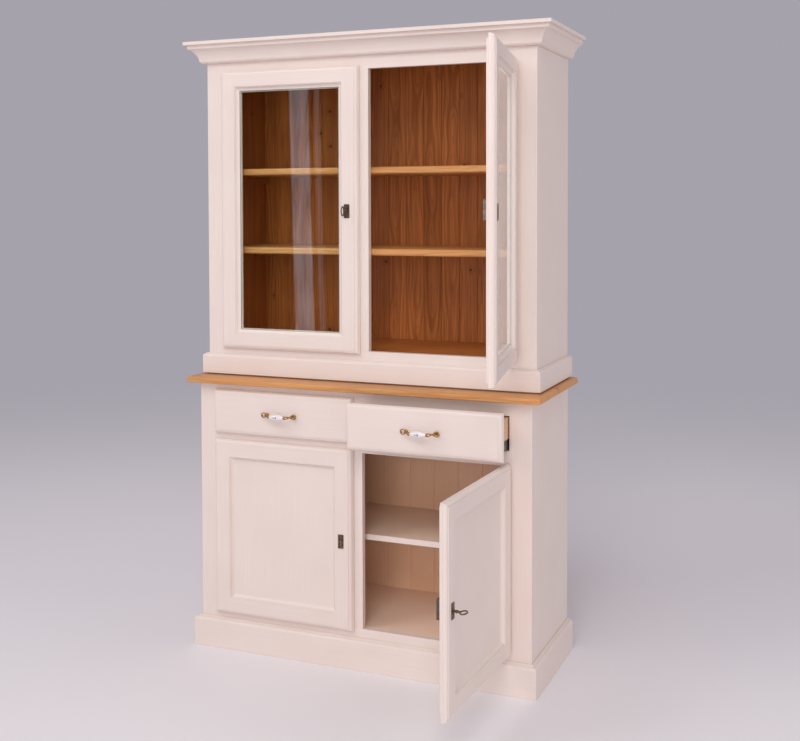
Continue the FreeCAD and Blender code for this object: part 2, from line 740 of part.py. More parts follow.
def make_door(name, y_frame, z0, z1, key_z, glazed, open_angle, left, keyed, key_turned):
    """One door: frame, panel or glass, hinge leaves, lock, plate, bolt and key."""
    y_face = y_frame - proud
    flat_x = glazed_stile_flat if glazed else door_stile_flat
    flat_z = glazed_rail_flat if glazed else door_rail_flat
    moulding = glazed_moulding if glazed else door_moulding
    outer = (half_post - lip, x_opening + lip, z0 - lip, z1 + lip)
    sight = (outer[0] + flat_x + moulding, outer[1] - flat_x - moulding,
             outer[2] + flat_z + moulding, outer[3] - flat_z - moulding)
    frame = door_blank(y_frame, z0, z1).cut(sight_cut(*sight, y_face, moulding))
    x_key = half_post - lip + key_backset
    frame = frame.cut(keyhole(x_key, key_z, y_face - PAST, y_face + door_thick + PAST))
    y_fill = y_face + door_recess
    nodes = {}
    if glazed:
        g = glass_rebate
        y_bead = y_fill + glass_thick
        rebate = box(sight[0] - g, sight[1] + g, y_fill, y_face + door_thick + PAST,
                     sight[2] - g, sight[3] + g)
        frame = frame.cut(rebate)
        c = g - glass_clearance
        nodes["glass"] = [box(sight[0] - c, sight[1] + c, y_fill, y_bead, sight[2] - c, sight[3] + c)]
        y_end = y_bead + bead_thick
        upright = box(sight[0] - g, sight[0], y_bead, y_end, sight[2] - g, sight[3] + g)
        other = box(sight[1], sight[1] + g, y_bead, y_end, sight[2] - g, sight[3] + g)
        low = box(sight[0], sight[1], y_bead, y_end, sight[2] - g, sight[2])
        high = box(sight[0], sight[1], y_bead, y_end, sight[3], sight[3] + g)
        nodes["beads"] = [upright, other, low, high]
    else:
        g = panel_groove
        y_end = y_fill + panel_thick
        frame = frame.cut(box(sight[0] - g, sight[1] + g, y_fill, y_end, sight[2] - g, sight[3] + g))
        c = g - glass_clearance
        nodes["panel"] = [box(sight[0] - c, sight[1] + c, y_fill, y_end, sight[2] - c, sight[3] + c)]
    nodes["frame"] = split_frame(frame, outer, sight, flat_x, y_face)
    nodes["hinge_leaves"] = [door_leaf(y_frame, z1, 1), door_leaf(y_frame, z0, -1)]
    case, bolt, plate, key = lock_pieces(y_frame, key_z)
    nodes["lock"] = [case]
    nodes["bolt"] = [bolt]
    nodes["key_plate"] = [plate]
    if keyed:
        key.rotate(Vec(x_key, 0, key_z), Y_AXIS, key_turned)
        nodes["key"] = [key]
    px, py = hinge_pin_place(y_frame)
    for part, shapes in nodes.items():
        placed = []
        for shape in shapes:
            if left:
                placed.append(mirrored(shape))
            else:
                moved = shape.copy()
                moved.rotate(Vec(px, py, 0), Z_AXIS, open_angle)
                placed.append(moved)
        save(name + "_" + part, placed)


def make_frame_leaves():
    """The case's half of every pivot hinge."""
    leaves = []
    for y_frame, z0, z1 in ((y_lower, lower_base, z_lower_opening),
                            (y_upper, z_upper_base, z_upper_opening)):
        leaves += both_sides(frame_leaf(y_frame, z1, 1))
        leaves += both_sides(frame_leaf(y_frame, z0, -1))
    save("frame_hinge_leaves", leaves)


# ---- drawers -------------------------------------------------------------------
def handle_pieces(x, y_face, z):
    """A bow handle: brass bow with end rings, feet and bolts, and a porcelain grip."""
    half = handle_spacing / 2
    grip_centre = Vec(x, y_face - handle_reach, z - handle_sag)
    half_grip = grip_length / 2
    thread_end = door_thick
    head_end = door_thick + handle_bolt
    knob_front = -handle_post - handle_knob_thick / 2
    knob_back = -handle_post + handle_knob_thick / 2
    turned = [(0, knob_front), (handle_knob, knob_front), (handle_knob, knob_back),
              (handle_rod, knob_back), (handle_rod, -handle_foot_thick),
              (handle_foot, -handle_foot_thick), (handle_foot, 0), (handle_bolt, 0),
              (handle_bolt, thread_end), (handle_bolt_head, thread_end), (handle_bolt_head, head_end),
              (0, head_end)]
    outline = Part.makePolygon([Vec(r, y, 0) for r, y in turned + turned[:1]])
    bow = rod(grip_core, grip_centre - X_AXIS * half_grip, grip_centre + X_AXIS * half_grip)
    for side in (-1, 1):
        outward = X_AXIS * side
        pillar = Part.Face(outline).revolve(ORIGIN, Y_AXIS, 360)
        pillar.translate(Vec(x, y_face, z) + outward * half)
        post_end = Vec(x, y_face - handle_post, z) + outward * half
        ring = Part.makeTorus(handle_ring, handle_strand, post_end + outward * handle_ring_out, Y_AXIS)
        arm_end = grip_centre + outward * (half_grip + handle_collar / 2)
        collar_start = grip_centre + outward * half_grip
        collar = rod(handle_collar_radius, collar_start, collar_start + outward * handle_collar)
        for piece in (pillar, ring, collar, rod(handle_arm, post_end, arm_end)):
            bow = bow.fuse(piece)
    bow = bow.Solids[0]

    u = half_grip
    edges = [Part.LineSegment(Vec(-u, 0, 0), Vec(-u, grip_end_radius, 0)).toShape(),
             Part.Arc(Vec(-u, grip_end_radius, 0), Vec(0, grip_radius, 0),
                      Vec(u, grip_end_radius, 0)).toShape(),
             Part.LineSegment(Vec(u, grip_end_radius, 0), Vec(u, 0, 0)).toShape(),
             Part.LineSegment(Vec(u, 0, 0), Vec(-u, 0, 0)).toShape()]
    grip = Part.Face(Part.Wire(edges)).revolve(ORIGIN, X_AXIS, 360)
    grip.translate(grip_centre)
    grip = grip.cut(bow)
    return bow, grip


def roller(x0, x1, y, z, axle_x):
    """A nylon roller with its axle stub in one piece."""
    wheel = rod(roller_radius, Vec(x0, y, z), Vec(x1, y, z))
    stub = rod(roller_axle, Vec((x0 + x1) / 2, y, z), Vec(axle_x, y, z))
    return wheel.fuse(stub).removeSplitter()


def make_drawer(name, left, out):
    """One drawer with its handle and runners, and the rollers that it runs on."""
    y_face = y_lower - proud
    z0 = z_drawer
    z1 = z_drawer_top
    x0 = half_post
    x1 = x_opening
    c = tongue_clearance
    y_seat = y_face + proud - lip_gap
    y_box = y_face + door_thick
    slab = lipped_slab(x0 - lip, x1 + lip, z0 - drawer_lip_below, z1 + drawer_lip_above, y_face)
    front = slab.fuse(box(x0 + c, x1 - c, y_seat, y_box, z0 + c, z1 - c)).removeSplitter()
    side = -1 if left else 1
    x_mid = side * (x0 + x1) / 2
    z_handle = (z0 - drawer_lip_below + z1 + drawer_lip_above) / 2 + handle_lift
    bow, grip = handle_pieces(x_mid, y_face, z_handle)

    t = drawer_side_thick
    outer = x1 - drawer_side_clearance
    inner = x0 + drawer_side_clearance
    z_side = z0 + drawer_side_lift
    z_side_top = z1 - drawer_top_gap
    y_end = y_inner_back - drawer_back_gap
    z_bottom = z_side + drawer_bottom_up
    z_floor = z_bottom + drawer_bottom_thick
    g = drawer_groove
    bottom = box(inner + t - g, outer - t + g, y_box, y_end, z_bottom, z_floor)
    sides = [box(inner, inner + t, y_box, y_end, z_side, z_side_top),
             box(outer - t, outer, y_box, y_end, z_side, z_side_top)]
    sides = [side.cut(bottom) for side in sides]
    back = box(inner + t, outer - t, y_end - drawer_back_thick, y_end, z_floor, z_side_top)

    m = runner_metal
    z_top_flange = z_side - m
    y_rear = y_end - rear_roller_in
    z_rear = z0 + m + roller_gap + roller_radius
    y_front = y_lower_inner + front_roller_back
    z_front = z_top_flange - roller_gap - roller_radius
    hole = roller_axle + axle_clearance
    runners = []
    rears = []
    fronts = []
    for edge, way in ((outer, -1), (inner, 1)):
        web = sorted((edge, edge + way * m))
        flange = sorted((edge, edge + way * t))
        runner = box(*web, y_box, y_end, z_side - runner_drop, z_side)
        runner = runner.fuse(box(*flange, y_box, y_end, z_top_flange, z_side)).removeSplitter()
        eye = rod(hole, Vec(edge - way * PAST, y_rear, z_rear), Vec(edge + way * PAST, y_rear, z_rear))
        runners.append(runner.cut(eye))
        near = edge + way * (m + channel_web_gap)
        far = near + way * roller_width
        rears.append(roller(*sorted((near, far)), y_rear, z_rear, edge))
        web_at = far + way * channel_web_gap
        fronts.append(roller(*sorted((near, far)), y_front, z_front, web_at + way * m))
    if left:
        front = mirrored(front)
        sides = [mirrored(shape) for shape in sides]
        runners = [mirrored(shape) for shape in runners]
        rears = [mirrored(shape) for shape in rears]
        fronts = [mirrored(shape) for shape in fronts]
    centre = (mirrored(back), mirrored(bottom)) if left else (back, bottom)

    def slid(shapes):
        """Shapes that move with the drawer, put where it stands."""
        moved = [shape.copy() for shape in shapes]
        for shape in moved:
            shape.translate(-Y_AXIS * out)
        return moved

    save(name + "_front", slid([front.cut(bow)]))
    save(name + "_box", slid(sides + list(centre)))
    save(name + "_handle_bow", slid([bow]))
    save(name + "_handle_grip", slid([grip]))
    save(name + "_runners", slid(runners))
    save(name + "_rear_rollers", slid(rears))
    save(name + "_front_rollers", fronts)


def make_runner_channels():
    """Steel channels on the drawer bearers, one beside each drawer side."""
    m = runner_metal
    y0 = y_lower_inner
    y1 = y_inner_back - channel_back_gap
    z0 = z_drawer
    z_side = z0 + drawer_side_lift
    y_front = y_lower_inner + front_roller_back
    z_front = z_side - m - roller_gap - roller_radius
    channels = []
    for edge, way in ((x_opening - drawer_side_clearance, -1), (half_post + drawer_side_clearance, 1)):
        web_at = edge + way * (m + 2 * channel_web_gap + roller_width)
        web = sorted((web_at, web_at + way * m))
        flange = sorted((web_at + way * m, web_at - way * channel_flange))
        channel = box(*web, y0, y1, z0, z0 + channel_height)
        channel = channel.fuse(box(*flange, y0, y1, z0, z0 + m)).removeSplitter()
        eye = rod(roller_axle + axle_clearance, Vec(web_at - way * PAST, y_front, z_front),
                  Vec(web_at + way * PAST, y_front, z_front))
        channels += both_sides(channel.cut(eye))
    save("runner_channels", channels)


make_plinth()
make_lower_case()
make_worktop()
make_inner_battens()
make_upper_case()
make_back("lower_back_boards", lower_inner, 0.0, z_lower_top, lower_board_pitch, lower_board_first)
make_back("upper_back_boards", upper_inner, z_worktop, z_upper_top, upper_board_pitch, upper_board_first)
make_base_moulding()
make_cornice()
make_frame_leaves()
make_runner_channels()
lower_key = lower_base - lip + lower_key_height
upper_key = z_upper_base - lip + upper_key_height
make_door("upper_left_door", y_upper, z_upper_base, z_upper_opening, upper_key, True, 0.0, True, True, 0.0)
make_door("upper_right_door", y_upper, z_upper_base, z_upper_opening, upper_key, True,
          upper_open_angle, False, False, 0.0)
make_door("lower_left_door", y_lower, lower_base, z_lower_opening, lower_key, False, 0.0, True, False, 0.0)
make_door("lower_right_door", y_lower, lower_base, z_lower_opening, lower_key, False,
          lower_open_angle, False, True, 90.0)
make_drawer("left_drawer", True, 0.0)
make_drawer("right_drawer", False, drawer_open)
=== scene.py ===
"""Step back cupboard: a glazed case on a deeper case with drawers and doors, dressed for show.

Metres. +Z is up and the front faces -Y. Each piece lies where its solid lies in the frame.
The sections follow the cupboard as it is put together, from the plinth to the handles.
"""

import json
import math
import random

import bmesh
import bpy
from mathutils import Euler, Matrix, Vector
from mathutils.bvhtree import BVHTree

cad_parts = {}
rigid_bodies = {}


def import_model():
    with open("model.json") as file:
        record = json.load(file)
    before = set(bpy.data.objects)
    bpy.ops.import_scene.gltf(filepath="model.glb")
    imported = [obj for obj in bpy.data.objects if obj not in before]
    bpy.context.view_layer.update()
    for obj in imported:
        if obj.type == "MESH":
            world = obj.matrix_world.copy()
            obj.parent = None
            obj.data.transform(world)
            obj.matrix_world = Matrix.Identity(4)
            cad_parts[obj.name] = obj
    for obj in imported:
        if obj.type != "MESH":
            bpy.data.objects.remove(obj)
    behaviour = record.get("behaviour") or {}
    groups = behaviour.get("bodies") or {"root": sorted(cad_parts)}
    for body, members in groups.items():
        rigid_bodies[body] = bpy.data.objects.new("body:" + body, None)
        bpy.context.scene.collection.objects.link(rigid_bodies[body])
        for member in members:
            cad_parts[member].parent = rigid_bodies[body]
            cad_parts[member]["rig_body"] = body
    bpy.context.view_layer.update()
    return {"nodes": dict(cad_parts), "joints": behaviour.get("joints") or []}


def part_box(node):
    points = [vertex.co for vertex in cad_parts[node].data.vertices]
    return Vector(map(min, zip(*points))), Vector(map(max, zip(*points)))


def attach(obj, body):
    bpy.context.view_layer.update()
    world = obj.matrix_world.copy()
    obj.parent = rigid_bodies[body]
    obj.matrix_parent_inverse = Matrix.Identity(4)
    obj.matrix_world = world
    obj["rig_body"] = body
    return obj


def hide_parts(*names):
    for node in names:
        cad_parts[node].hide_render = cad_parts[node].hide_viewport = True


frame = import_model()
scene = bpy.context.scene
scene.view_settings.view_transform = "Standard"


# ---- Viewpoint -----------------------------------------------------------------
# The viewer stands ahead of the cupboard and to its right, at eye height, looking very
# slightly down. The lens is shifted up so that the cupboard's foot is in the picture.
PICTURE_WIDTH = 800
PICTURE_HEIGHT = 741
focal_pixels = 1152.9
optical_centre_row = 246.6
eye_place = (1.5092, -3.4602, 1.4607)
degrees_down = 2.059
degrees_left = 22.651
degrees_rolled = -0.139

viewpoint = bpy.data.cameras.new("viewpoint")
viewpoint.sensor_width = 36.0
viewpoint.lens = viewpoint.sensor_width * focal_pixels / PICTURE_WIDTH
viewpoint.shift_y = (optical_centre_row - PICTURE_HEIGHT / 2) / PICTURE_WIDTH
viewer = bpy.data.objects.new("viewer", viewpoint)
scene.collection.objects.link(viewer)
gaze = Euler((math.radians(90 - degrees_down), 0, math.radians(degrees_left))).to_matrix().to_4x4()
roll = Matrix.Rotation(math.radians(degrees_rolled), 4, "Z")
viewer.matrix_world = Matrix.Translation(eye_place) @ gaze @ roll
scene.camera = viewer


# ---- Studio --------------------------------------------------------------------
# A pale floor that fades into a plain grey room, which lights everything evenly. Soft lamps
# hang round the front: high at the left, ahead and overhead, low ahead and at the right.
# A dark screen with two pale strips stands where the left pane mirrors it.
room_colour = "#A5A2AB"
floor_colour = "#EFEAEB"
floor_width = 60.0
haze_from = 1.5
haze_to = 7.0
lamp_width = 3.0
lamp_distance = 7.2
lamp_aim = Vector((0, 0, 1.0))
# Each lamp's degrees round from straight ahead, its degrees up, and its watts.
lamps = {"left": (-45, 40, 98.0), "ahead": (15, 35, 132.0), "low": (15, 4, 92.0),
         "side": (82, 12, 82.0), "overhead": (0, 62, 38.0)}
screen_width = 0.9
screen_height = 1.8
screen_middle = (-2.32, -4.0, 1.43)
strip_colour = "#D8E2F4"
strip_lean = 0.0255
strip_edge = 0.008
bright_strip = (-2.180, 0.074)
faint_strip = (-2.043, 0.022)
faint_share = 0.4


def linear(colour):
    """A colour written in sRGB hex, as linear red, green, blue and 1."""
    parts = [int(colour[i:i + 2], 16) / 255 for i in (1, 3, 5)]
    return [c / 12.92 if c <= 0.04045 else ((c + 0.055) / 1.055) ** 2.4 for c in parts] + [1.0]


def add(tree, kind, inputs=None, **options):
    """A node of a kind, with its options and its inputs' values or links."""
    node = tree.nodes.new("ShaderNode" + kind)
    for name, value in options.items():
        setattr(node, name, value)
    for name, value in (inputs or {}).items():
        if isinstance(value, bpy.types.NodeSocket):
            tree.links.new(value, node.inputs[name])
        else:
            node.inputs[name].default_value = value
    return node


def blank_tree(owner):
    """The empty node tree of a new material or world."""
    owner.use_nodes = True
    owner.node_tree.nodes.clear()
    return owner.node_tree


def new_material(name):
    """A new material and its empty node tree."""
    material = bpy.data.materials.new(name)
    return material, blank_tree(material)


def seen_directly(tree):
    """1 for what the camera, a gloss or a pane of glass looks at, and 0 for light on its way."""
    path = add(tree, "LightPath").outputs
    some = add(tree, "Math", {0: path["Is Camera Ray"], 1: path["Is Glossy Ray"]}, operation="MAXIMUM")
    either = {0: some.outputs[0], 1: path["Is Transmission Ray"]}
    return add(tree, "Math", either, operation="MAXIMUM").outputs[0]


def make_room():
    """The room: one even light all round, which is also what is seen behind the cupboard."""
    room = bpy.data.worlds.new("room")
    tree = blank_tree(room)
    light = add(tree, "Background", {"Color": linear(room_colour), "Strength": 1.0})
    add(tree, "OutputWorld", {"Surface": light.outputs[0]})
    scene.world = room


def stage_sheet(name, width, height, place, material):
    """An upright or level sheet that belongs to the studio. It faces the cupboard."""
    shape = bmesh.new()
    bmesh.ops.create_grid(shape, x_segments=1, y_segments=1, size=0.5)
    bmesh.ops.transform(shape, verts=shape.verts, matrix=place @ Matrix.Diagonal((width, height, 1, 1)))
    mesh = bpy.data.meshes.new(name)
    shape.to_mesh(mesh)
    shape.free()
    mesh.materials.append(material)
    sheet = bpy.data.objects.new(name, mesh)
    scene.collection.objects.link(sheet)
    return sheet


def make_floor():
    """The floor: pale and matt near the cupboard, the room's own colour further off."""
    material, tree = new_material("pale_floor")
    matt = add(tree, "BsdfDiffuse", {"Color": linear(floor_colour)})
    haze = add(tree, "Emission", {"Color": linear(room_colour), "Strength": 1.0})
    place = add(tree, "TexCoord").outputs["Object"]
    reach = add(tree, "VectorMath", {0: place}, operation="LENGTH").outputs["Value"]
    far = add(tree, "MapRange", {"Value": reach, "From Min": haze_from, "From Max": haze_to},
              interpolation_type="SMOOTHSTEP").outputs[0]
    share = add(tree, "Math", {0: far, 1: seen_directly(tree)}, operation="MULTIPLY")
    both = add(tree, "MixShader", {0: share.outputs[0], 1: matt.outputs[0], 2: haze.outputs[0]})
    add(tree, "OutputMaterial", {"Surface": both.outputs[0]})
    stage_sheet("floor", floor_width, floor_width, Matrix(), material)


def hang_lamp(name, around, up, watts):
    """A soft lamp that faces the cupboard. Neither the camera nor a pane shows the lamp itself."""
    lamp = bpy.data.lights.new(name, "AREA")
    lamp.size = lamp_width
    lamp.energy = watts
    holder = bpy.data.objects.new(name, lamp)
    scene.collection.objects.link(holder)
    round_front = Matrix.Rotation(math.radians(around), 3, "Z")
    away = round_front @ Matrix.Rotation(math.radians(-up), 3, "X") @ Vector((0, -lamp_distance, 0))
    holder.location = lamp_aim + away
    holder.rotation_euler = (-away).to_track_quat("-Z", "Y").to_euler()
    holder.visible_camera = False
    holder.visible_transmission = False


def band(tree, across, middle, half):
    """1 within a band that reaches half its width to both sides of its middle, with soft edges."""
    off = add(tree, "Math", {0: across, 1: middle}, operation="SUBTRACT").outputs[0]
    away = add(tree, "Math", {0: off}, operation="ABSOLUTE").outputs[0]
    reach = {"Value": away, "From Min": half + strip_edge, "From Max": half - strip_edge}
    return add(tree, "MapRange", reach, interpolation_type="SMOOTHSTEP").outputs[0]


def make_screen():
    """The dark screen, whose image in the left pane shows that there is glass."""
    material, tree = new_material("screen_with_strips")
    place = add(tree, "TexCoord").outputs["Object"]
    side = add(tree, "SeparateXYZ", {0: place}).outputs
    # The strips lean: with each metre up they lie that much further left.
    leaning = {0: side["Z"], 1: strip_lean, 2: side["X"]}
    across = add(tree, "Math", leaning, operation="MULTIPLY_ADD").outputs[0]
    bright = band(tree, across, *bright_strip)
    faint = band(tree, across, *faint_strip)
    stretched = add(tree, "Mapping", {"Vector": place, "Scale": (14.0, 14.0, 3.0)}).outputs[0]
    folds = add(tree, "TexNoise", {"Vector": stretched, "Scale": 1.0, "Detail": 4.0}).outputs["Fac"]
    uneven = add(tree, "MapRange", {"Value": folds, "From Min": 0.3, "From Max": 0.7,
                                    "To Min": 0.85, "To Max": 2.1}).outputs[0]
    both = add(tree, "Math", {0: faint, 1: faint_share, 2: bright}, operation="MULTIPLY_ADD").outputs[0]
    glow = add(tree, "Math", {0: both, 1: uneven}, operation="MULTIPLY").outputs[0]
    strips = add(tree, "Emission", {"Color": linear(strip_colour), "Strength": glow})
    # A look straight through a pane doesn't show the screen: only a mirror image does.
    path = add(tree, "LightPath").outputs
    unmirrored = add(tree, "Math", {0: path["Glossy Depth"], 1: 0.5}, operation="LESS_THAN").outputs[0]
    straight = {0: unmirrored, 1: path["Is Transmission Ray"]}
    through = add(tree, "Math", straight, operation="MULTIPLY").outputs[0]
    unseen = add(tree, "BsdfTransparent").outputs[0]
    shown = add(tree, "MixShader", {0: through, 1: strips.outputs[0], 2: unseen})
    add(tree, "OutputMaterial", {"Surface": shown.outputs[0]})
    upright = Matrix.Translation(screen_middle) @ Matrix.Rotation(math.pi / 2, 4, "X")
    stage_sheet("screen", screen_width, screen_height, upright, material).visible_camera = False


make_room()
make_floor()
for lamp_name, (around, up, watts) in lamps.items():
    hang_lamp("soft_lamp_" + lamp_name, around, up, watts)
make_screen()


# ---- Plinth --------------------------------------------------------------------
# Three softwood boards with a moulded top, mitred at the front corners and glued round
# the foot of the case. Brushed with cream eggshell paint over sanded primer.
cream = "#EADBD2"
cream_shade = "#E6D5CB"
painted_arris = 0.0012
eggshell_roughness = 0.42
# Points this near are one, edges turning more than this are sharp, and faces this near touch.
WELD = 1e-6
SHARP = math.radians(40)
GLUED = 0.0002


def in_order(parts):
    """Parts of a shape without repeats, in the order in which they come, so that runs are alike."""
    return list(dict.fromkeys(parts))


def separate_solids(shape):
    """A node's solids, each as a list of faces: one ends where every edge has met its twin."""
    solids = []
    faces = []
    open_edges = set()
    for face in shape.faces:
        faces.append(face)
        corners = [tuple(round(c / WELD) for c in vert.co) for vert in face.verts]
        for edge in zip(corners, corners[1:] + corners[:1]):
            if edge[0] != edge[1]:
                open_edges ^= {frozenset(edge)}
        if not open_edges:
            solids.append(faces)
            faces = []
    return solids


def saw_from_log(verts, log, chance):
    """Writes each point's place in the log that its board was sawn from: across, deep and along."""
    low = [min(vert.co[i] for vert in verts) for i in range(3)]
    high = [max(vert.co[i] for vert in verts) for i in range(3)]
    thin, wide, long = sorted(range(3), key=lambda i: high[i] - low[i])
    off_heart = chance.uniform(-0.9, 0.9) * (high[wide] - low[wide])
    depth = chance.uniform(0.012, 0.060)
    start = chance.uniform(0.0, 50.0)
    for vert in verts:
        across = vert.co[wide] - (low[wide] + high[wide]) / 2 + off_heart
        vert[log] = (across, vert.co[thin] - low[thin] + depth, vert.co[long] + start)


def along_joint(edge, solid, faces, near):
    """Whether a stretch of the edge lies on another solid, as where a rail is glued to a stile."""
    start, end = (vert.co for vert in edge.verts)
    inset = min(0.030 / edge.calc_length(), 0.3)
    touched = [hit[2] for share in (inset, 0.5, 1 - inset)
               for hit in near.find_nearest_range(start.lerp(end, share), GLUED)]
    return any(faces[index][solid] != edge.link_faces[0][solid] for index in touched)


def soft_arrises(shape, arris, solid, glued):
    """Marks for rounding the outer sharp edges whose faces are wide enough to take it.

    Where the solids are glued together and painted over, no edge of a joint is rounded.
    """
    weight = shape.edges.layers.float.new("bevel_weight_edge")
    shape.faces.ensure_lookup_table()
    near = BVHTree.FromBMesh(shape)
    for edge in shape.edges:
        if len(edge.link_faces) != 2 or not edge.is_convex or edge.calc_face_angle() < SHARP:
            continue
        length = edge.calc_length()
        narrow = min(face.calc_area() for face in edge.link_faces) / length
        if min(narrow, length) < 4 * arris or glued and along_joint(edge, solid, shape.faces, near):
            continue
        edge[weight] = 1.0


def make_object(name, shape, materials):
    """A shown object of a finished shape, smooth but for its sharp edges, with its materials."""
    for face in shape.faces:
        face.smooth = True
    for edge in shape.edges:
        edge.smooth = len(edge.link_faces) == 2 and edge.calc_face_angle() < SHARP
    mesh = bpy.data.meshes.new(name)
    shape.to_mesh(mesh)
    shape.free()
    if mesh.has_custom_normals:
        mesh.attributes.remove(mesh.attributes["custom_normal"])
    for material in materials:
        mesh.materials.append(material)
    piece = bpy.data.objects.new(name, mesh)
    scene.collection.objects.link(piece)
    return piece


def finish_node(name, node, materials, arris, choose=None, glued=True):
    """A node as finished: its solids apart, flat faces whole, arrises soft, grain marked.

    choose gives the number of the material that a face takes, from its middle and normal.
    """
    chance = random.Random(node)
    shape = bmesh.new()
    shape.from_mesh(frame["nodes"][node].data)
    log = shape.verts.layers.float_vector.new("log")
    solid = shape.faces.layers.int.new("solid")
    for number, faces in enumerate(separate_solids(shape)):
        for face in faces:
            face[solid] = number
        verts = in_order(vert for face in faces for vert in face.verts)
        saw_from_log(verts, log, chance)
        bmesh.ops.remove_doubles(shape, verts=verts, dist=WELD)
    bmesh.ops.dissolve_limit(shape, angle_limit=math.radians(0.5), verts=shape.verts, edges=shape.edges)
    soft_arrises(shape, arris, solid, glued)
    for face in shape.faces:
        face.material_index = choose(face.calc_center_median(), face.normal) if choose else 0
    piece = make_object(name, shape, materials)
    bevel = piece.modifiers.new("arrises", "BEVEL")
    bevel.width = arris
    bevel.segments = 2
    bevel.limit_method = "WEIGHT"
    bevel.use_clamp_overlap = False
    piece.modifiers.new("even_shading", "WEIGHTED_NORMAL").keep_sharp = True
    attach(piece, frame["nodes"][node]["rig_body"])
    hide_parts(node)
    return piece


def brushed_paint(name, colour, shade):
    """Eggshell paint laid off along the grain: almost even, with the softest of brush lines."""
    material, tree = new_material(name)
    log = add(tree, "Attribute", attribute_name="log").outputs["Vector"]
    # Bristle lines are about 1 mm apart and run for some 0.2 m. They are drawn 3 mm apart.
    stroke = add(tree, "Mapping", {"Vector": log, "Scale": (330.0, 330.0, 5.0)}).outputs[0]
    bristles = add(tree, "TexNoise", {"Vector": stroke, "Scale": 1.0, "Detail": 3.0}).outputs["Fac"]
    cover = add(tree, "TexNoise", {"Vector": log, "Scale": 6.0, "Detail": 2.0}).outputs["Fac"]
    uneven = add(tree, "Math", {0: bristles, 1: cover}, operation="MULTIPLY").outputs[0]
    full = add(tree, "MapRange", {"Value": uneven, "From Min": 0.12, "From Max": 0.45}).outputs[0]
    mix = add(tree, "Mix", {"Factor": full, 6: linear(shade), 7: linear(colour)}, data_type="RGBA")
    relief = add(tree, "Bump", {"Height": bristles, "Strength": 0.05, "Distance": 0.0002})
    paint = add(tree, "BsdfPrincipled", {"Base Color": mix.outputs[2], "Normal": relief.outputs[0],
                                         "Roughness": eggshell_roughness, "IOR": 1.5})
    add(tree, "OutputMaterial", {"Surface": paint.outputs[0]})
    return material


cream_paint = brushed_paint("cream_eggshell_paint", cream, cream_shade)


def paint_cream(name, node, arris=painted_arris):
    """A node that is painted cream all over."""
    finish_node(name, node, [cream_paint], arris)


paint_cream("painted_plinth", "plinth")


# ---- Bearers under the case ----------------------------------------------------
# Three sawn pine battens on edge under the lower floor, hidden by the plinth. They are
# left bare, as are the drawer boxes and the bearers and kickers inside the case.
bare_early = "#E3C3A4"
bare_late = "#D0A47E"
bare_knot = "#9C683E"
sawn_arris = 0.001


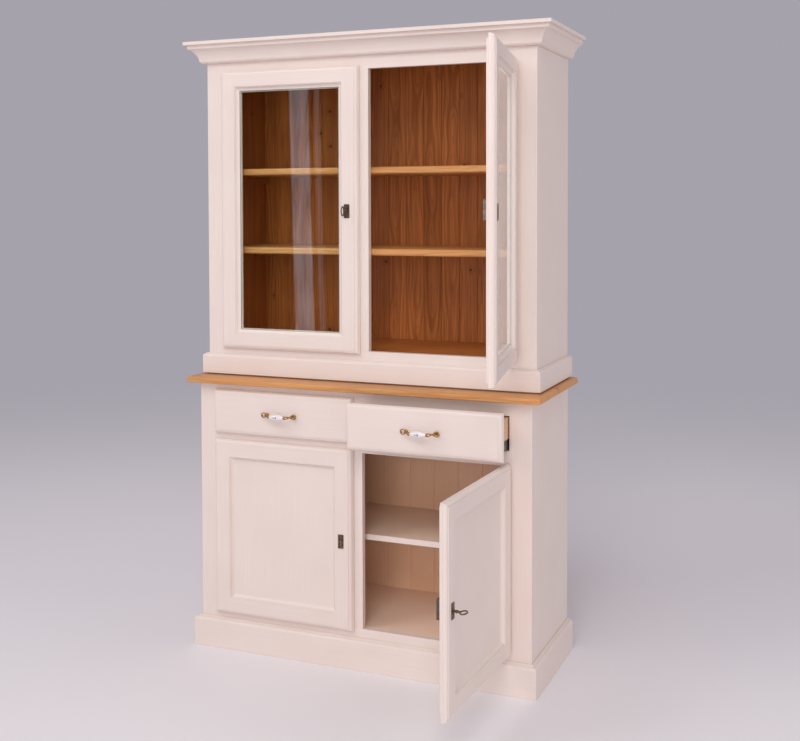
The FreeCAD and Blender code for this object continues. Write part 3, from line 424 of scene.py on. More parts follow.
def sawn_pine(name, early, late, knot, roughness, ring_pitch=0.0035, figure=1.0):
    """Pine boards: growth rings cut along, broad streaks, fine fibres, and a knot here and there.

    ring_pitch is the distance from one dark ring to the next. figure is how strongly it shows.
    """
    knot_spacing = 0.16
    material, tree = new_material(name)
    log = add(tree, "Attribute", attribute_name="log").outputs["Vector"]
    # The heart of the tree wanders by some 10 mm over half a metre, so that rings run out in arches.
    slow = add(tree, "Mapping", {"Vector": log, "Scale": (5.0, 5.0, 2.2)}).outputs[0]
    sway = add(tree, "TexNoise", {"Vector": slow, "Scale": 1.0, "Detail": 2.0}).outputs["Color"]
    bent = add(tree, "VectorMath", {0: sway, 1: (0.040, 0.040, 0.0), 2: log}, operation="MULTIPLY_ADD")
    flat = add(tree, "VectorMath", {0: bent.outputs[0], 1: (1.0, 1.0, 0.0)}, operation="MULTIPLY")
    radius = add(tree, "VectorMath", {0: flat.outputs[0]}, operation="LENGTH").outputs["Value"]
    # Knots: some of the cells of a loose net hold one, 7 to 11 mm across.
    side = add(tree, "SeparateXYZ", {0: log}).outputs
    face = add(tree, "CombineXYZ", {0: side[0], 1: side[2]}).outputs[0]
    cells = add(tree, "TexVoronoi", {"Vector": face, "Scale": 1 / knot_spacing}, voronoi_dimensions="2D")
    away = add(tree, "Math", {0: cells.outputs["Distance"], 1: knot_spacing}, operation="MULTIPLY")
    pick = add(tree, "SeparateColor", {0: cells.outputs["Color"]}).outputs
    empty = add(tree, "Math", {0: pick[0], 1: 0.30}, operation="GREATER_THAN").outputs[0]
    gap = add(tree, "Math", {0: away.outputs[0], 1: empty}, operation="ADD").outputs[0]
    around = add(tree, "MapRange", {"Value": gap, "From Min": 0.026, "From Max": 0.002},
                 interpolation_type="SMOOTHSTEP").outputs[0]
    core = add(tree, "MapRange", {"Value": gap, "From Min": 0.0055, "From Max": 0.0034},
               interpolation_type="SMOOTHSTEP").outputs[0]
    swell = add(tree, "Math", {0: around, 1: 0.010, 2: radius}, operation="MULTIPLY_ADD").outputs[0]
    turns = add(tree, "Math", {0: swell, 1: 1 / ring_pitch}, operation="MULTIPLY").outputs[0]
    rings = add(tree, "TexNoise", {"W": turns, "Scale": 1.0, "Detail": 2.0, "Roughness": 0.6},
                noise_dimensions="1D").outputs["Fac"]
    dark_ring = add(tree, "MapRange", {"Value": rings, "From Min": 0.38, "From Max": 0.66},
                    interpolation_type="SMOOTHSTEP").outputs[0]
    # Streaks are some 20 mm wide and half a metre long.
    long = add(tree, "Mapping", {"Vector": log, "Scale": (50.0, 50.0, 2.0)}).outputs[0]
    streak = add(tree, "TexNoise", {"Vector": long, "Scale": 1.0, "Detail": 3.0}).outputs["Fac"]
    broad = add(tree, "MapRange", {"Value": streak, "From Min": 0.32, "From Max": 0.68}).outputs[0]
    # Fibres are finer than a picture shows. They are drawn 2 mm wide and 0.1 m long.
    grain = add(tree, "Mapping", {"Vector": log, "Scale": (480.0, 480.0, 9.0)}).outputs[0]
    fibres = add(tree, "TexNoise", {"Vector": grain, "Scale": 1.0, "Detail": 2.0}).outputs["Fac"]
    lines = add(tree, "Math", {0: dark_ring, 1: 0.42, 2: fibres}, operation="MULTIPLY_ADD").outputs[0]
    both = add(tree, "Math", {0: broad, 1: 0.45, 2: lines}, operation="MULTIPLY_ADD").outputs[0]
    depth = add(tree, "MapRange", {"Value": both, "From Min": 0.30, "From Max": 1.30,
                                   "To Max": figure}).outputs[0]
    wood = add(tree, "Mix", {"Factor": depth, 6: linear(early), 7: linear(late)}, data_type="RGBA")
    # Boards differ in tone, and so do stretches of one board.
    tone = add(tree, "TexNoise", {"Vector": log, "Scale": 1.1, "Detail": 1.0}).outputs["Fac"]
    warm = add(tree, "MapRange", {"Value": tone, "From Min": 0.3, "From Max": 0.7,
                                  "To Min": 0.82, "To Max": 1.14}).outputs[0]
    toned = add(tree, "HueSaturation", {"Color": wood.outputs[2], "Value": warm}).outputs[0]
    halo = add(tree, "Math", {0: around, 1: 0.22}, operation="MULTIPLY").outputs[0]
    stained = add(tree, "Math", {0: core, 1: halo}, operation="MAXIMUM").outputs[0]
    knotted = add(tree, "Mix", {"Factor": stained, 6: toned, 7: linear(knot)}, data_type="RGBA")
    relief = add(tree, "Bump", {"Height": lines, "Strength": 0.10, "Distance": 0.0004})
    surface = add(tree, "BsdfPrincipled", {"Base Color": knotted.outputs[2], "Roughness": roughness,
                                           "Normal": relief.outputs[0], "IOR": 1.45,
                                           "Specular IOR Level": 0.3})
    add(tree, "OutputMaterial", {"Surface": surface.outputs[0]})
    return material


bare_pine = sawn_pine("planed_bare_pine", bare_early, bare_late, bare_knot, 0.62, figure=0.7)
finish_node("sawn_plinth_bearers", "plinth_bearers", [bare_pine], sawn_arris)


# ---- Lower case ----------------------------------------------------------------
# Softwood sides, floor, shelf and back boards, painted before they are put together.
# Inside, where daylight hardly reaches, the paint is drawn warmer as painted shade.
# The inner colours are the cream drawn warmer as painted shade, warmest on the back boards.
inner_painted_shade_colour = "#FBDFCA"
inner_shade = "#F5D7C0"
back_painted_shade_colour = "#F7CCAA"
back_shade = "#F1C3A0"
planed_arris = 0.0006
lower_half_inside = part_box("lower_floor")[1].x
back_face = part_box("lower_back_boards")[1].y
lower_board_width = 0.088
lower_board_joint = 0.015
lower_nail_rows = (0.119, 0.407, 0.860)
nail_radius = 0.0022
nail_proud = 0.0002
nail_from_end = 0.008
nail_places = (0.25, 0.75)
steel_dull = "#6E6964"
steel_bright = "#A19C96"
# A face looks a way if its normal has this much of it. Faces this near to a plane lie in it.
FACING = 0.9
FLUSH = 1e-4

inner_paint_with_painted_shade = brushed_paint("inner_eggshell_with_painted_shade", inner_painted_shade_colour, inner_shade)
back_paint_with_painted_shade = brushed_paint("back_eggshell_with_painted_shade", back_painted_shade_colour, back_shade)


def inside_lower(middle, normal):
    """0 for a face on the outside of the lower case, 1 inside it, which takes the painted shade."""
    return int(abs(middle.x) < lower_half_inside + WELD and abs(normal.x) > FACING)


def in_front(middle, normal):
    """1 for a front edge, which is lit and shows the plain cream; the rest takes the painted shade."""
    return int(normal.y < -FACING)


def behind(middle, normal):
    """1 for the rear face of the back boards, which nobody paints."""
    return int(middle.y > back_face - FLUSH)


finish_node("painted_lower_sides", "lower_sides", [cream_paint, inner_paint_with_painted_shade],
            painted_arris, inside_lower)
finish_node("painted_lower_floor", "lower_floor", [inner_paint_with_painted_shade], painted_arris)
finish_node("painted_lower_shelf", "lower_shelf", [inner_paint_with_painted_shade, cream_paint],
            painted_arris, in_front)
finish_node("painted_lower_back", "lower_back_boards", [back_paint_with_painted_shade, bare_pine],
            planed_arris, behind, glued=False)
paint_cream("painted_lower_frame", "lower_face_frame")


def drawn_steel():
    """Bright drawn wire gone dull, as on nail heads, in patches of 2 to 3 mm."""
    material, tree = new_material("dull_wire_steel")
    place = add(tree, "TexCoord").outputs["Object"]
    tarnish = add(tree, "TexNoise", {"Vector": place, "Scale": 400.0, "Detail": 2.0}).outputs["Fac"]
    tones = {"Factor": tarnish, 6: linear(steel_dull), 7: linear(steel_bright)}
    mix = add(tree, "Mix", tones, data_type="RGBA")
    steel = add(tree, "BsdfPrincipled", {"Base Color": mix.outputs[2], "Metallic": 1.0, "Roughness": 0.5})
    add(tree, "OutputMaterial", {"Surface": steel.outputs[0]})
    return material


wire_steel = drawn_steel()


def nail_boards(name, node, board_width, joint, rows):
    """Flat-headed nails through the back boards, two to a board in each row, set almost flush.

    joint is the place across of one of the boards' joints, and rows are heights.
    """
    shape = bmesh.new()
    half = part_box(node)[1].x
    count = int(2 * half / board_width) + 2
    upright = Matrix.Rotation(math.pi / 2, 4, "X")
    for board in range(-count, count):
        for share in nail_places:
            across = joint + (board + share) * board_width
            if abs(across) > half - nail_from_end:
                continue
            for height in rows:
                place = Matrix.Translation((across, back_face + nail_proud / 2, height)) @ upright
                bmesh.ops.create_cone(shape, cap_ends=True, segments=12, radius1=nail_radius,
                                      radius2=nail_radius, depth=nail_proud, matrix=place)
    nails = make_object(name, shape, [wire_steel])
    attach(nails, frame["nodes"][node]["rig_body"])


nail_boards("lower_back_nails", "lower_back_boards", lower_board_width, lower_board_joint,
            lower_nail_rows)


# ---- Worktop -------------------------------------------------------------------
# A glued-up pine board, 20 mm thick, rounded on its front and ends and waxed to a honey
# colour. It is screwed down on the lower case and carries the upper one.
honey_early = "#D79F69"
honey_late = "#BC7D45"
honey_knot = "#8A5428"
wide_rings = 0.005

waxed_pine = sawn_pine("waxed_honey_pine", honey_early, honey_late, honey_knot, 0.36,
                       ring_pitch=wide_rings, figure=0.8)
finish_node("waxed_worktop", "worktop", [waxed_pine], planed_arris)


# ---- Upper case ----------------------------------------------------------------
# The same cream outside. Inside it is lined with narrow pine boards, stained and waxed a
# darker brown, and its two shelves are honey pine with rounded front edges.
lining_early = "#D08144"
lining_late = "#9A5828"
lining_knot = "#54301A"
shelf_early = "#DDA56C"
shelf_late = "#C08048"
upper_half_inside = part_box("upper_top_and_floor")[1].x
worktop_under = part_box("worktop")[0].z
upper_board_width = 0.0644
upper_board_joint = 0.0021
upper_nail_rows = (0.989, 1.312, 1.571, 1.981)

brown_pine = sawn_pine("stained_brown_pine", lining_early, lining_late, lining_knot, 0.40)
shelf_pine = sawn_pine("waxed_shelf_pine", shelf_early, shelf_late, honey_knot, 0.38,
                       ring_pitch=wide_rings)


def inside_upper(middle, normal):
    """0 for a face on the outside of the upper case, 1 inside it."""
    return int(abs(middle.x) < upper_half_inside + WELD and abs(normal.x) > FACING)


def above_worktop(middle, normal):
    """0 for a batten inside the lower case, 1 for one inside the upper case."""
    return int(middle.z > worktop_under)


finish_node("lined_upper_sides", "upper_sides", [cream_paint, brown_pine],
            painted_arris, inside_upper)
finish_node("stained_top_and_floor", "upper_top_and_floor", [brown_pine], sawn_arris)
finish_node("stained_back_boards", "upper_back_boards", [brown_pine, bare_pine],
            planed_arris, behind, glued=False)
nail_boards("upper_back_nails", "upper_back_boards", upper_board_width, upper_board_joint,
            upper_nail_rows)
finish_node("waxed_shelves", "upper_shelves", [shelf_pine], planed_arris)
paint_cream("painted_upper_frame", "upper_face_frame")
finish_node("fitted_battens", "inner_battens", [bare_pine, brown_pine], sawn_arris,
            above_worktop)


# ---- Base moulding and cornice -------------------------------------------------
# Moulded softwood, mitred round the front and sides of the upper case and painted with
# it. The cornice has a fillet and a bead over a cyma, hollow above and round at the foot.
moulded_arris = 0.0008

paint_cream("painted_base_moulding", "base_moulding", moulded_arris)
paint_cream("painted_cornice", "cornice", moulded_arris)


# ---- Doors ---------------------------------------------------------------------
# Framed doors that lap their openings, with a moulding round the edge and another round
# the panel. The lower two hold flat panels, the upper two a pane of glass each.
LOWER_DOORS = ("lower_left_door", "lower_right_door")
UPPER_DOORS = ("upper_left_door", "upper_right_door")
panel_arris = 0.0005

for door in LOWER_DOORS + UPPER_DOORS:
    paint_cream("painted_" + door, door + "_frame", moulded_arris)
for door in LOWER_DOORS:
    paint_cream("painted_" + door + "_panel", door + "_panel", panel_arris)
for door in UPPER_DOORS:
    paint_cream("painted_" + door + "_beads", door + "_beads", planed_arris)


# ---- Glass ---------------------------------------------------------------------
# Two panes of 3 mm float glass, clear, with a trace of green that shows at the edges. Each
# lies against the moulding of its door and is held from behind by four beads.
glass_tint = "#F6FAF8"


def float_glass():
    """Clear glass that lets the lamps' light through to what stands behind it."""
    material, tree = new_material("clear_float_glass")
    pane = add(tree, "BsdfPrincipled", {"Base Color": linear(glass_tint), "Roughness": 0.0, "IOR": 1.5,
                                        "Transmission Weight": 1.0})
    clear = add(tree, "BsdfTransparent", {"Color": linear(glass_tint)})
    shadow = add(tree, "LightPath").outputs["Is Shadow Ray"]
    both = add(tree, "MixShader", {0: shadow, 1: pane.outputs[0], 2: clear.outputs[0]})
    add(tree, "OutputMaterial", {"Surface": both.outputs[0]})
    return material


def dress(node, material):
    """Gives a CAD node that is shown as it is its material."""
    for slot in frame["nodes"][node].material_slots:
        slot.material = material


glass = float_glass()
for door in UPPER_DOORS:
    dress(door + "_glass", glass)


# ---- Hinges, runners and rollers -----------------------------------------------
# Pressed steel: pivot leaves at the doors' corners, painted over with the doors, and zinc
# plated runners on the drawer sides and channels on the bearers, with white nylon rollers.
# Both zinc colours are darker than plating alone, partly as painted shade on the runners.
zinc_grey = "#85878A"
zinc_dark_and_painted_shade = "#4A4B4D"
nylon_white = "#E4E1DA"
nylon_shade = "#D8D4CB"
sheet_arris = 0.0004


def plated_steel(name, colour, shade, roughness, flake):
    """Plated or lacquered steel: flakes of slightly different tone, and light 4 mm scuffs."""
    material, tree = new_material(name)
    place = add(tree, "TexCoord").outputs["Object"]
    flakes = add(tree, "TexVoronoi", {"Vector": place, "Scale": 1 / flake}).outputs["Color"]
    tone = add(tree, "SeparateColor", {0: flakes}).outputs[0]
    mix = add(tree, "Mix", {"Factor": tone, 6: linear(shade), 7: linear(colour)}, data_type="RGBA")
    scuffs = add(tree, "TexNoise", {"Vector": place, "Scale": 260.0, "Detail": 3.0}).outputs["Fac"]
    relief = add(tree, "Bump", {"Height": scuffs, "Strength": 0.08, "Distance": 0.0003})
    metal = add(tree, "BsdfPrincipled", {"Base Color": mix.outputs[2], "Metallic": 1.0,
                                         "Roughness": roughness, "Normal": relief.outputs[0]})
    add(tree, "OutputMaterial", {"Surface": metal.outputs[0]})
    return material


def moulded_nylon():
    """Moulded nylon: waxy white with faint flow marks, about 10 mm wide."""
    material, tree = new_material("moulded_white_nylon")
    place = add(tree, "TexCoord").outputs["Object"]
    flow = add(tree, "TexNoise", {"Vector": place, "Scale": 90.0, "Detail": 2.0}).outputs["Fac"]
    tones = {"Factor": flow, 6: linear(nylon_shade), 7: linear(nylon_white)}
    mix = add(tree, "Mix", tones, data_type="RGBA")
    body = add(tree, "BsdfPrincipled", {"Base Color": mix.outputs[2], "Roughness": 0.45,
                                        "Subsurface Weight": 0.05})
    add(tree, "OutputMaterial", {"Surface": body.outputs[0]})
    return material


zinc_plate_with_painted_shade = plated_steel("zinc_plated_steel_with_painted_shade", zinc_grey, zinc_dark_and_painted_shade, 0.38, 0.004)
nylon = moulded_nylon()
for node in frame["nodes"]:
    if node.endswith("hinge_leaves"):
        finish_node("painted_" + node, node, [cream_paint], sheet_arris)
    if node.endswith(("runners", "channels")):
        dress(node, zinc_plate_with_painted_shade)
    if node.endswith("rollers"):
        dress(node, nylon)


# ---- Locks ---------------------------------------------------------------------
# A rim lock is screwed to the inner face of each door, with a zinc plated bolt. Its case is
# pressed steel, lacquered a dark bronze, and four slotted screws hold it.
lock_bronze = "#7D6F60"
lock_bronze_dark = "#5F5246"
lock_size = Vector((0.040, 0.009, 0.055))
screw_radius = 0.0032
screw_top_share = 0.72
screw_height = 0.0011
slot_width = 0.0009
slot_depth_share = 0.6
screw_inset = 0.0055

lacquered_steel = plated_steel("bronze_lacquered_steel", lock_bronze, lock_bronze_dark, 0.42, 0.003)


def hinge_of(door):
    """A door's hinge: where it turns, and how far it stands open, in radians."""
    joint = next(j for j in frame["joints"] if j["name"] == door + "_hinge")
    lowest = math.radians(joint["range_deg"][0])
    return Vector(joint["pos_m"]), -lowest * joint["axis"][2]


def swing(door):
    """Turns what is made in the shut door to where the door stands."""
    pin, angle = hinge_of(door)
    return Matrix.Translation(pin) @ Matrix.Rotation(angle, 4, "Z") @ Matrix.Translation(-pin)


def shut_box(door, node):
    """The middle of a node in a door, as it would be with the door shut."""
    low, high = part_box(node)
    return swing(door).inverted() @ ((low + high) / 2)


def parts_of(verts):
    """Points with the edges and faces that meet there, and those faces by themselves."""
    edges = in_order(edge for vert in verts for edge in vert.link_edges)
    faces = in_order(face for vert in verts for face in vert.link_faces)
    return verts + edges + faces, faces


def only_verts(parts):
    """The points among the parts of a mesh."""
    return [part for part in parts if isinstance(part, bmesh.types.BMVert)]


def slotted_screw(shape, centre, turn):
    """A round-headed screw with a slot, whose head faces the back."""
    made = bmesh.ops.create_cone(shape, cap_ends=True, segments=20, radius1=screw_radius,
                                 radius2=screw_radius * screw_top_share, depth=screw_height)["verts"]
    parts, faces = parts_of(made)
    for side in (-1, 1):
        cut = bmesh.ops.bisect_plane(shape, geom=parts, plane_co=(0, side * slot_width / 2, 0),
                                     plane_no=(0, 1, 0))
        made = in_order(only_verts(made + cut["geom_cut"] + cut["geom"]))
        parts, faces = parts_of(made)
    top = [face for face in faces
           if face.normal.z > FACING and abs(face.calc_center_median().y) < slot_width / 4]
    sunk = bmesh.ops.extrude_face_region(shape, geom=top)["geom"]
    bmesh.ops.delete(shape, geom=top, context="FACES_ONLY")
    floor = only_verts(sunk)
    bmesh.ops.translate(shape, verts=floor, vec=(0, 0, -screw_height * slot_depth_share))
    backwards = Vector((0, 1, 0)).to_track_quat("Z", "X").to_matrix().to_4x4()
    place = Matrix.Translation(centre) @ backwards @ Matrix.Rotation(turn, 4, "Z")
    bmesh.ops.transform(shape, verts=made + floor, matrix=place)


def make_lock_screws(door):
    """The four screws of a door's lock, set at chance angles."""
    chance = random.Random(door)
    shape = bmesh.new()
    middle = shut_box(door, door + "_lock")
    for side in (-1, 1):
        for up in (-1, 1):
            corner = Vector((side * (lock_size.x / 2 - screw_inset), (lock_size.y + screw_height) / 2,
                             up * (lock_size.z / 2 - screw_inset)))
            slotted_screw(shape, middle + corner, chance.uniform(0, math.pi))
    bmesh.ops.transform(shape, verts=shape.verts, matrix=swing(door))
    screws = make_object(door + "_lock_screws", shape, [lacquered_steel])
    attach(screws, door)


for door in LOWER_DOORS + UPPER_DOORS:
    finish_node("lacquered_" + door + "_lock", door + "_lock", [lacquered_steel], planed_arris)
    make_lock_screws(door)
    dress(door + "_bolt", zinc_plate_with_painted_shade)


# ---- Key plates ----------------------------------------------------------------
# Stamped brass plates with a keyhole each, browned with age. Each is fixed to its door by
# two small domed pins, one above the keyhole and one below it.
bronze_high = "#8A7361"
bronze_low = "#54402F"
plate_height = 0.044
pin_radius = 0.0014
pin_dome_share = 0.6
pin_from_end = 0.0042
pin_ahead = 0.0006


def browned_brass(name, high, low, roughness, rubbed=True):
    """Brass gone brown in 8 mm clouds. Where it is rubbed, its raised parts are brighter."""
    material, tree = new_material(name)
    place = add(tree, "TexCoord").outputs["Object"]
    cloud = add(tree, "TexNoise", {"Vector": place, "Scale": 130.0, "Detail": 4.0}).outputs["Fac"]
    bright = add(tree, "MapRange", {"Value": cloud, "From Min": 0.35, "From Max": 0.70}).outputs[0]
    if rubbed:
        worn = add(tree, "NewGeometry").outputs["Pointiness"]
        raised = add(tree, "MapRange", {"Value": worn, "From Min": 0.50, "From Max": 0.60}).outputs[0]
        bright = add(tree, "Math", {0: bright, 1: raised}, operation="MAXIMUM").outputs[0]
    mix = add(tree, "Mix", {"Factor": bright, 6: linear(low), 7: linear(high)}, data_type="RGBA")
    relief = add(tree, "Bump", {"Height": cloud, "Strength": 0.10, "Distance": 0.0002})
    metal = add(tree, "BsdfPrincipled", {"Base Color": mix.outputs[2], "Metallic": 0.85,
                                         "Roughness": roughness, "Normal": relief.outputs[0]})
    add(tree, "OutputMaterial", {"Surface": metal.outputs[0]})
    return material


dark_brass = browned_brass("browned_brass", bronze_high, bronze_low, 0.40)
plate_brass = browned_brass("browned_sheet_brass", bronze_high, bronze_low, 0.40, rubbed=False)


def make_plate_pins(door):
    """The two domed pins of a key plate."""
    shape = bmesh.new()
    middle = shut_box(door, door + "_key_plate")
    for up in (-1, 1):
        place = middle + Vector((0, -pin_ahead, up * (plate_height / 2 - pin_from_end)))
        dome = bmesh.ops.create_uvsphere(shape, u_segments=12, v_segments=8, radius=pin_radius)["verts"]
        bmesh.ops.scale(shape, verts=dome, vec=(1, pin_dome_share, 1))
        bmesh.ops.translate(shape, verts=dome, vec=place)
    bmesh.ops.transform(shape, verts=shape.verts, matrix=swing(door))
    pins = make_object(door + "_plate_pins", shape, [dark_brass])
    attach(pins, door)


for door in LOWER_DOORS + UPPER_DOORS:
    finish_node("stamped_" + door + "_key_plate", door + "_key_plate", [plate_brass],
                sheet_arris)
    make_plate_pins(door)


# ---- Keys ----------------------------------------------------------------------
# Two cast keys, browned like their plates, one in the upper left door and one, turned
# flat, in the lower right door: an oval bow, a shank with a swelling and collars, a bit.
bow_high = 0.033
bow_long = 0.022
bow_rod = 0.0021
bow_ahead = 0.031
shank_radius = 0.0025
shank_end = 0.034
bit_size = (0.002, 0.002, 0.009)
bit_middle = (0, 0.029, -0.0045)
half_plate_thick = 0.00075


def lathe(shape, profile, axis, steps=28):
    """Turns a profile of (along, radius) points about an axis through the origin."""
    across = Vector((0, 0, 1))
    rim = [shape.verts.new(Vector(axis) * along + across * radius) for along, radius in profile]
    line = [shape.edges.new(pair) for pair in zip(rim, rim[1:])]
    bmesh.ops.spin(shape, geom=rim + line, cent=(0, 0, 0), axis=axis, angle=math.tau, steps=steps,
                   use_merge=True)


def ring(shape, radius, thick, turn):
    """A ring of round bar about the origin, turned from lying flat by a rotation."""
    before = set(shape.verts)
    place = Matrix.Translation((radius, 0, 0)) @ Matrix.Rotation(math.pi / 2, 4, "X")
    section = bmesh.ops.create_circle(shape, segments=12, radius=thick, matrix=place)["verts"]
    outline, _ = parts_of(section)
    bmesh.ops.spin(shape, geom=outline, cent=(0, 0, 0), axis=(0, 0, 1), angle=math.tau, steps=36,
                   use_merge=True)
    made = [vert for vert in shape.verts if vert not in before]
    bmesh.ops.transform(shape, verts=made, matrix=turn)
    return made


def make_key(door, node, turned):
    """A key in its door: made upright at the keyhole, turned, and swung with the door."""
    shape = bmesh.new()
    bow = ring(shape, bow_long / 2 - bow_rod, bow_rod, Matrix.Rotation(math.pi / 2, 4, "Y"))
    for vert in bow:
        angle = math.atan2(vert.co.z, vert.co.y)
        vert.co.z += (bow_high - bow_long) / 2 * math.sin(angle)
        vert.co.y -= bow_ahead
    # The shank as (along, radius) from the bow's neck: a swelling, two collars and the stem.
    neck = -(bow_ahead - bow_long / 2 + bow_rod)
    shank = [(neck - 0.001, 0.0), (neck - 0.001, 0.0022), (neck + 0.002, 0.0030), (neck + 0.004, 0.0024),
             (-0.0150, 0.0042), (-0.0105, 0.0044), (-0.0070, 0.0030), (-0.0060, 0.0040), (-0.0038, 0.0040),
             (-0.0034, shank_radius), (shank_end, shank_radius), (shank_end, 0.0)]
    lathe(shape, shank, (0, 1, 0))
    bit = bmesh.ops.create_cube(shape, size=1.0)["verts"]
    bmesh.ops.scale(shape, verts=bit, vec=bit_size)
    bmesh.ops.translate(shape, verts=bit, vec=bit_middle)
    bmesh.ops.remove_doubles(shape, verts=shape.verts, dist=WELD)
    bmesh.ops.recalc_face_normals(shape, faces=shape.faces)
    hole = shut_box(door, door + "_key_plate")
    hole.y += half_plate_thick
    place = Matrix.Translation(hole) @ Matrix.Rotation(turned, 4, "Y")
    bmesh.ops.transform(shape, verts=shape.verts, matrix=swing(door) @ place)
    key = make_object("cast_" + node, shape, [dark_brass])
    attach(key, node)
    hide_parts(node)


make_key("upper_left_door", "upper_left_door_key", 0.0)
make_key("lower_right_door", "lower_right_door_key", math.pi / 2)


# ---- Drawers -------------------------------------------------------------------
# Lipped softwood fronts painted with the case, on boxes of bare planed pine with the
# bottom let into grooves.
DRAWERS = ("left_drawer", "right_drawer")
for drawer in DRAWERS:
    paint_cream("painted_" + drawer + "_front", drawer + "_front", moulded_arris)
    finish_node("planed_" + drawer + "_box", drawer + "_box", [bare_pine], moulded_arris)


# ---- Drawer handles ------------------------------------------------------------
# Cast brass: two posts, and at each end a bar that loops round the post, crosses itself and
# claws a cap. Between the caps sits a glazed porcelain grip with a small blue sprig.
brass_high = "#CB9A54"
brass_low = "#7C5528"
glaze_white = "#E9E3E4"
sprig_blue = "#66718A"
above_middle = 0.002
post_from_middle = 0.048
grip_ahead = 0.029
grip_down = 0.002
grip_half = 0.0265
grip_radius = 0.010
grip_end = 0.0036
bar_radius = 0.0017
crossing_from_middle = 0.041
crossing_reach = 0.010
crossing_gap = 0.0012
slope_reach = 0.020
bead_middle = (0.0594, -0.0140, -0.0015)
bead_radius = 0.0036

aged_brass = browned_brass("aged_yellow_brass", brass_high, brass_low, 0.28)


def glazed_porcelain():
    """White porcelain under clear glaze, with a blossom and a spray of leaves fired on."""
    material, tree = new_material("glazed_porcelain")
    place = add(tree, "Attribute", attribute_name="on_grip").outputs["Vector"]
    # Dabs of the brush, each by its place across and up and its radius: five petals, then five
    # leaves along a wavy stalk.
    turns = [i * math.tau / 5 for i in range(5)]
    petals = [(0.0022 + 0.0021 * math.sin(a), 0.0024 * math.cos(a), 0.0014) for a in turns]
    leaves = [(-0.0042 - 0.0018 * i, 0.0012 * math.sin(2.2 * i), 0.0016 - 0.0002 * i) for i in range(5)]
    painted = 0.0
    for x, z, size in petals + leaves:
        gap = add(tree, "VectorMath", {0: place, 1: (x, -grip_radius, z)}, operation="DISTANCE")
        soft = {"Value": gap.outputs["Value"], "From Min": size * 1.15, "From Max": size * 0.8}
        dab = add(tree, "MapRange", soft).outputs[0]
        painted = add(tree, "Math", {0: painted, 1: dab}, operation="MAXIMUM").outputs[0]
    colours = {"Factor": painted, 6: linear(glaze_white), 7: linear(sprig_blue)}
    mix = add(tree, "Mix", colours, data_type="RGBA")
    glaze = add(tree, "BsdfPrincipled", {"Base Color": mix.outputs[2], "Roughness": 0.12, "IOR": 1.52,
                                         "Coat Weight": 0.4, "Coat Roughness": 0.05})
    add(tree, "OutputMaterial", {"Surface": glaze.outputs[0]})
    return material


porcelain = glazed_porcelain()


def smooth_route(points, steps=5):
    """More points, on a smooth curve through the given ones."""
    ends = [2 * points[0] - points[1]] + points + [2 * points[-1] - points[-2]]
    route = []
    for a, b, c, d in zip(ends, ends[1:], ends[2:], ends[3:]):
        for t in (step / steps for step in range(steps)):
            bend = (2 * a - 5 * b + 4 * c - d) * t ** 2 + (3 * b - a - 3 * c + d) * t ** 3
            route.append((2 * b + (c - a) * t + bend) / 2)
    return route + [points[-1]]


def bar_along(shape, route, radius):
    """A round bar along a route, closed at both ends."""
    way = (route[1] - route[0]).normalized()
    place = Matrix.Translation(route[0]) @ way.to_track_quat("Z", "Y").to_matrix().to_4x4()
    section = bmesh.ops.create_circle(shape, cap_ends=True, segments=10, radius=radius, matrix=place)
    edges = in_order(edge for vert in section["verts"] for edge in vert.link_edges)
    for here, there, after in zip(route, route[1:], route[2:] + [2 * route[-1] - route[-2]]):
        grown = bmesh.ops.extrude_edge_only(shape, edges=edges)["geom"]
        tip = only_verts(grown)
        edges = [part for part in grown
                 if isinstance(part, bmesh.types.BMEdge) and all(vert in tip for vert in part.verts)]
        bmesh.ops.translate(shape, verts=tip, vec=there - here)
        onward = (after - here).normalized()
        bmesh.ops.rotate(shape, verts=tip, cent=there, matrix=way.rotation_difference(onward).to_matrix())
        way = onward
    bmesh.ops.contextual_create(shape, geom=edges)


def looped_bar(shape, side):
    """The bar at one end: from the cap's top, down across itself, round the post, and back again."""
    # One half of the loop, by how far each point is out from the middle, back from the drawer's
    # front, and above the bar's middle line.
    half = [(0.0268, -0.0290, 0.0034), (0.0310, -0.0276, 0.0039), (0.0360, -0.0228, 0.0024),
            (0.0410, -0.0179, 0.0), (0.0470, -0.0148, -0.0046), (0.0540, -0.0140, -0.0072),
            (0.0598, -0.0140, -0.0050), (0.0617, -0.0140, 0.0)]
    points = []
    for strand, run in ((1, half), (-1, half[-2::-1])):
        for out, back, up in run:
            middle_line = -grip_down * min(max((post_from_middle - out) / slope_reach, 0), 1)
            apart = max(0, 1 - abs(out - crossing_from_middle) / crossing_reach) * crossing_gap
            points.append(Vector((side * out, back - strand * apart, middle_line + strand * up)))
    bar_along(shape, smooth_route(points), bar_radius)


def turned_part(shape, profile, axis, offset):
    """A lathe-turned part, moved to its place."""
    before = set(shape.verts)
    lathe(shape, profile, axis)
    fresh = [vert for vert in shape.verts if vert not in before]
    bmesh.ops.translate(shape, verts=fresh, vec=offset)


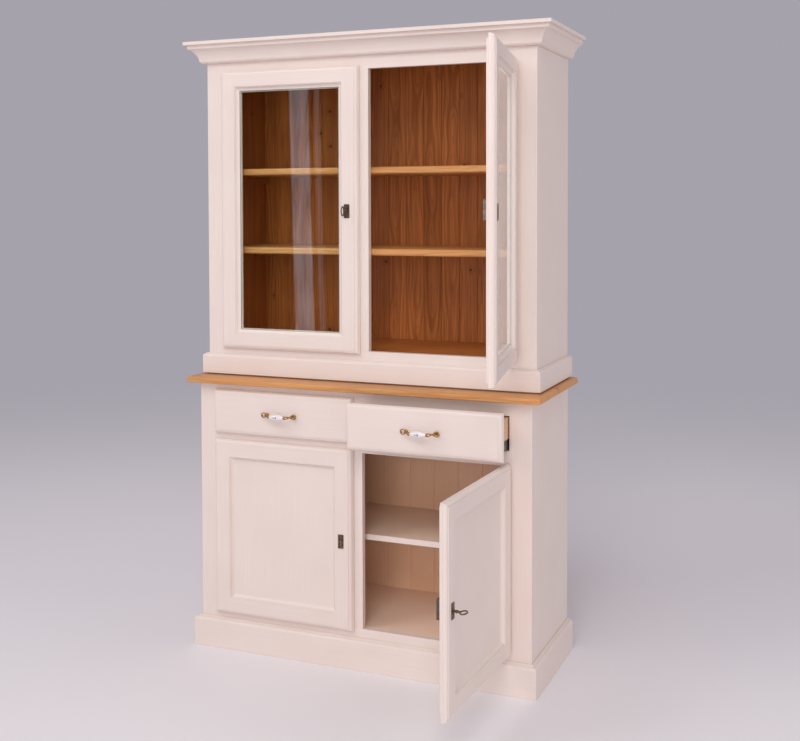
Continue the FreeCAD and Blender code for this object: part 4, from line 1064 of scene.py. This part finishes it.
def make_bow(drawer, middle):
    """The brass of one handle: posts with their bolts, looped bars with a bead each, and caps."""
    # Profiles as (along, radius). The post's goes on as the bolt, through to its head inside.
    post = [(-0.0162, 0.0), (-0.0162, 0.0018), (-0.0152, 0.0028), (-0.0134, 0.0032), (-0.0120, 0.0028),
            (-0.0110, 0.0024), (-0.0060, 0.0024), (-0.0032, 0.0034), (-0.0022, 0.0054), (-0.0008, 0.0060),
            (0.0, 0.0060), (0.0, 0.0020), (0.0265, 0.0020), (0.0265, 0.0040), (0.0276, 0.0040),
            (0.0285, 0.0026), (0.0285, 0.0)]
    cap = [(-0.0015, 0.0), (-0.0015, 0.0046), (0.0005, 0.0049), (0.0020, 0.0042), (0.0032, 0.0026),
           (0.0045, 0.0)]
    shape = bmesh.new()
    for side in (-1, 1):
        turned_part(shape, post, (0, 1, 0), (side * post_from_middle, 0, 0))
        outward = [(side * (grip_half + along), radius) for along, radius in cap]
        turned_part(shape, outward, (1, 0, 0), (0, -grip_ahead, -grip_down))
        looped_bar(shape, side)
        out, back, up = bead_middle
        bead = Matrix.Translation((side * out, back, up))
        bmesh.ops.create_uvsphere(shape, u_segments=20, v_segments=12, radius=bead_radius, matrix=bead)
    bmesh.ops.remove_doubles(shape, verts=shape.verts, dist=WELD)
    bmesh.ops.recalc_face_normals(shape, faces=shape.faces)
    bmesh.ops.translate(shape, verts=shape.verts, vec=middle)
    bow = make_object("cast_" + drawer + "_bow", shape, [aged_brass])
    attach(bow, drawer)
    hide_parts(drawer + "_handle_bow")


def make_grip(drawer, middle):
    """The porcelain of one handle: a barrel, fullest in the middle."""
    shape = bmesh.new()
    steps = 16
    profile = [(-grip_half, 0.0)]
    for step in range(steps + 1):
        share = 2 * step / steps - 1
        profile.append((share * grip_half, grip_end + (grip_radius - grip_end) * (1 - share * share)))
    profile.append((grip_half, 0.0))
    lathe(shape, profile, (1, 0, 0), steps=40)
    bmesh.ops.remove_doubles(shape, verts=shape.verts, dist=WELD)
    bmesh.ops.recalc_face_normals(shape, faces=shape.faces)
    on_grip = shape.verts.layers.float_vector.new("on_grip")
    for vert in shape.verts:
        vert[on_grip] = vert.co
    bmesh.ops.translate(shape, verts=shape.verts, vec=Vector(middle) + Vector((0, -grip_ahead, -grip_down)))
    grip = make_object("glazed_" + drawer + "_grip", shape, [porcelain])
    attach(grip, drawer)
    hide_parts(drawer + "_handle_grip")


for drawer in DRAWERS:
    low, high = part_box(drawer + "_front")
    middle = Vector(((low.x + high.x) / 2, low.y, (low.z + high.z) / 2 + above_middle))
    make_bow(drawer, middle)
    make_grip(drawer, middle)
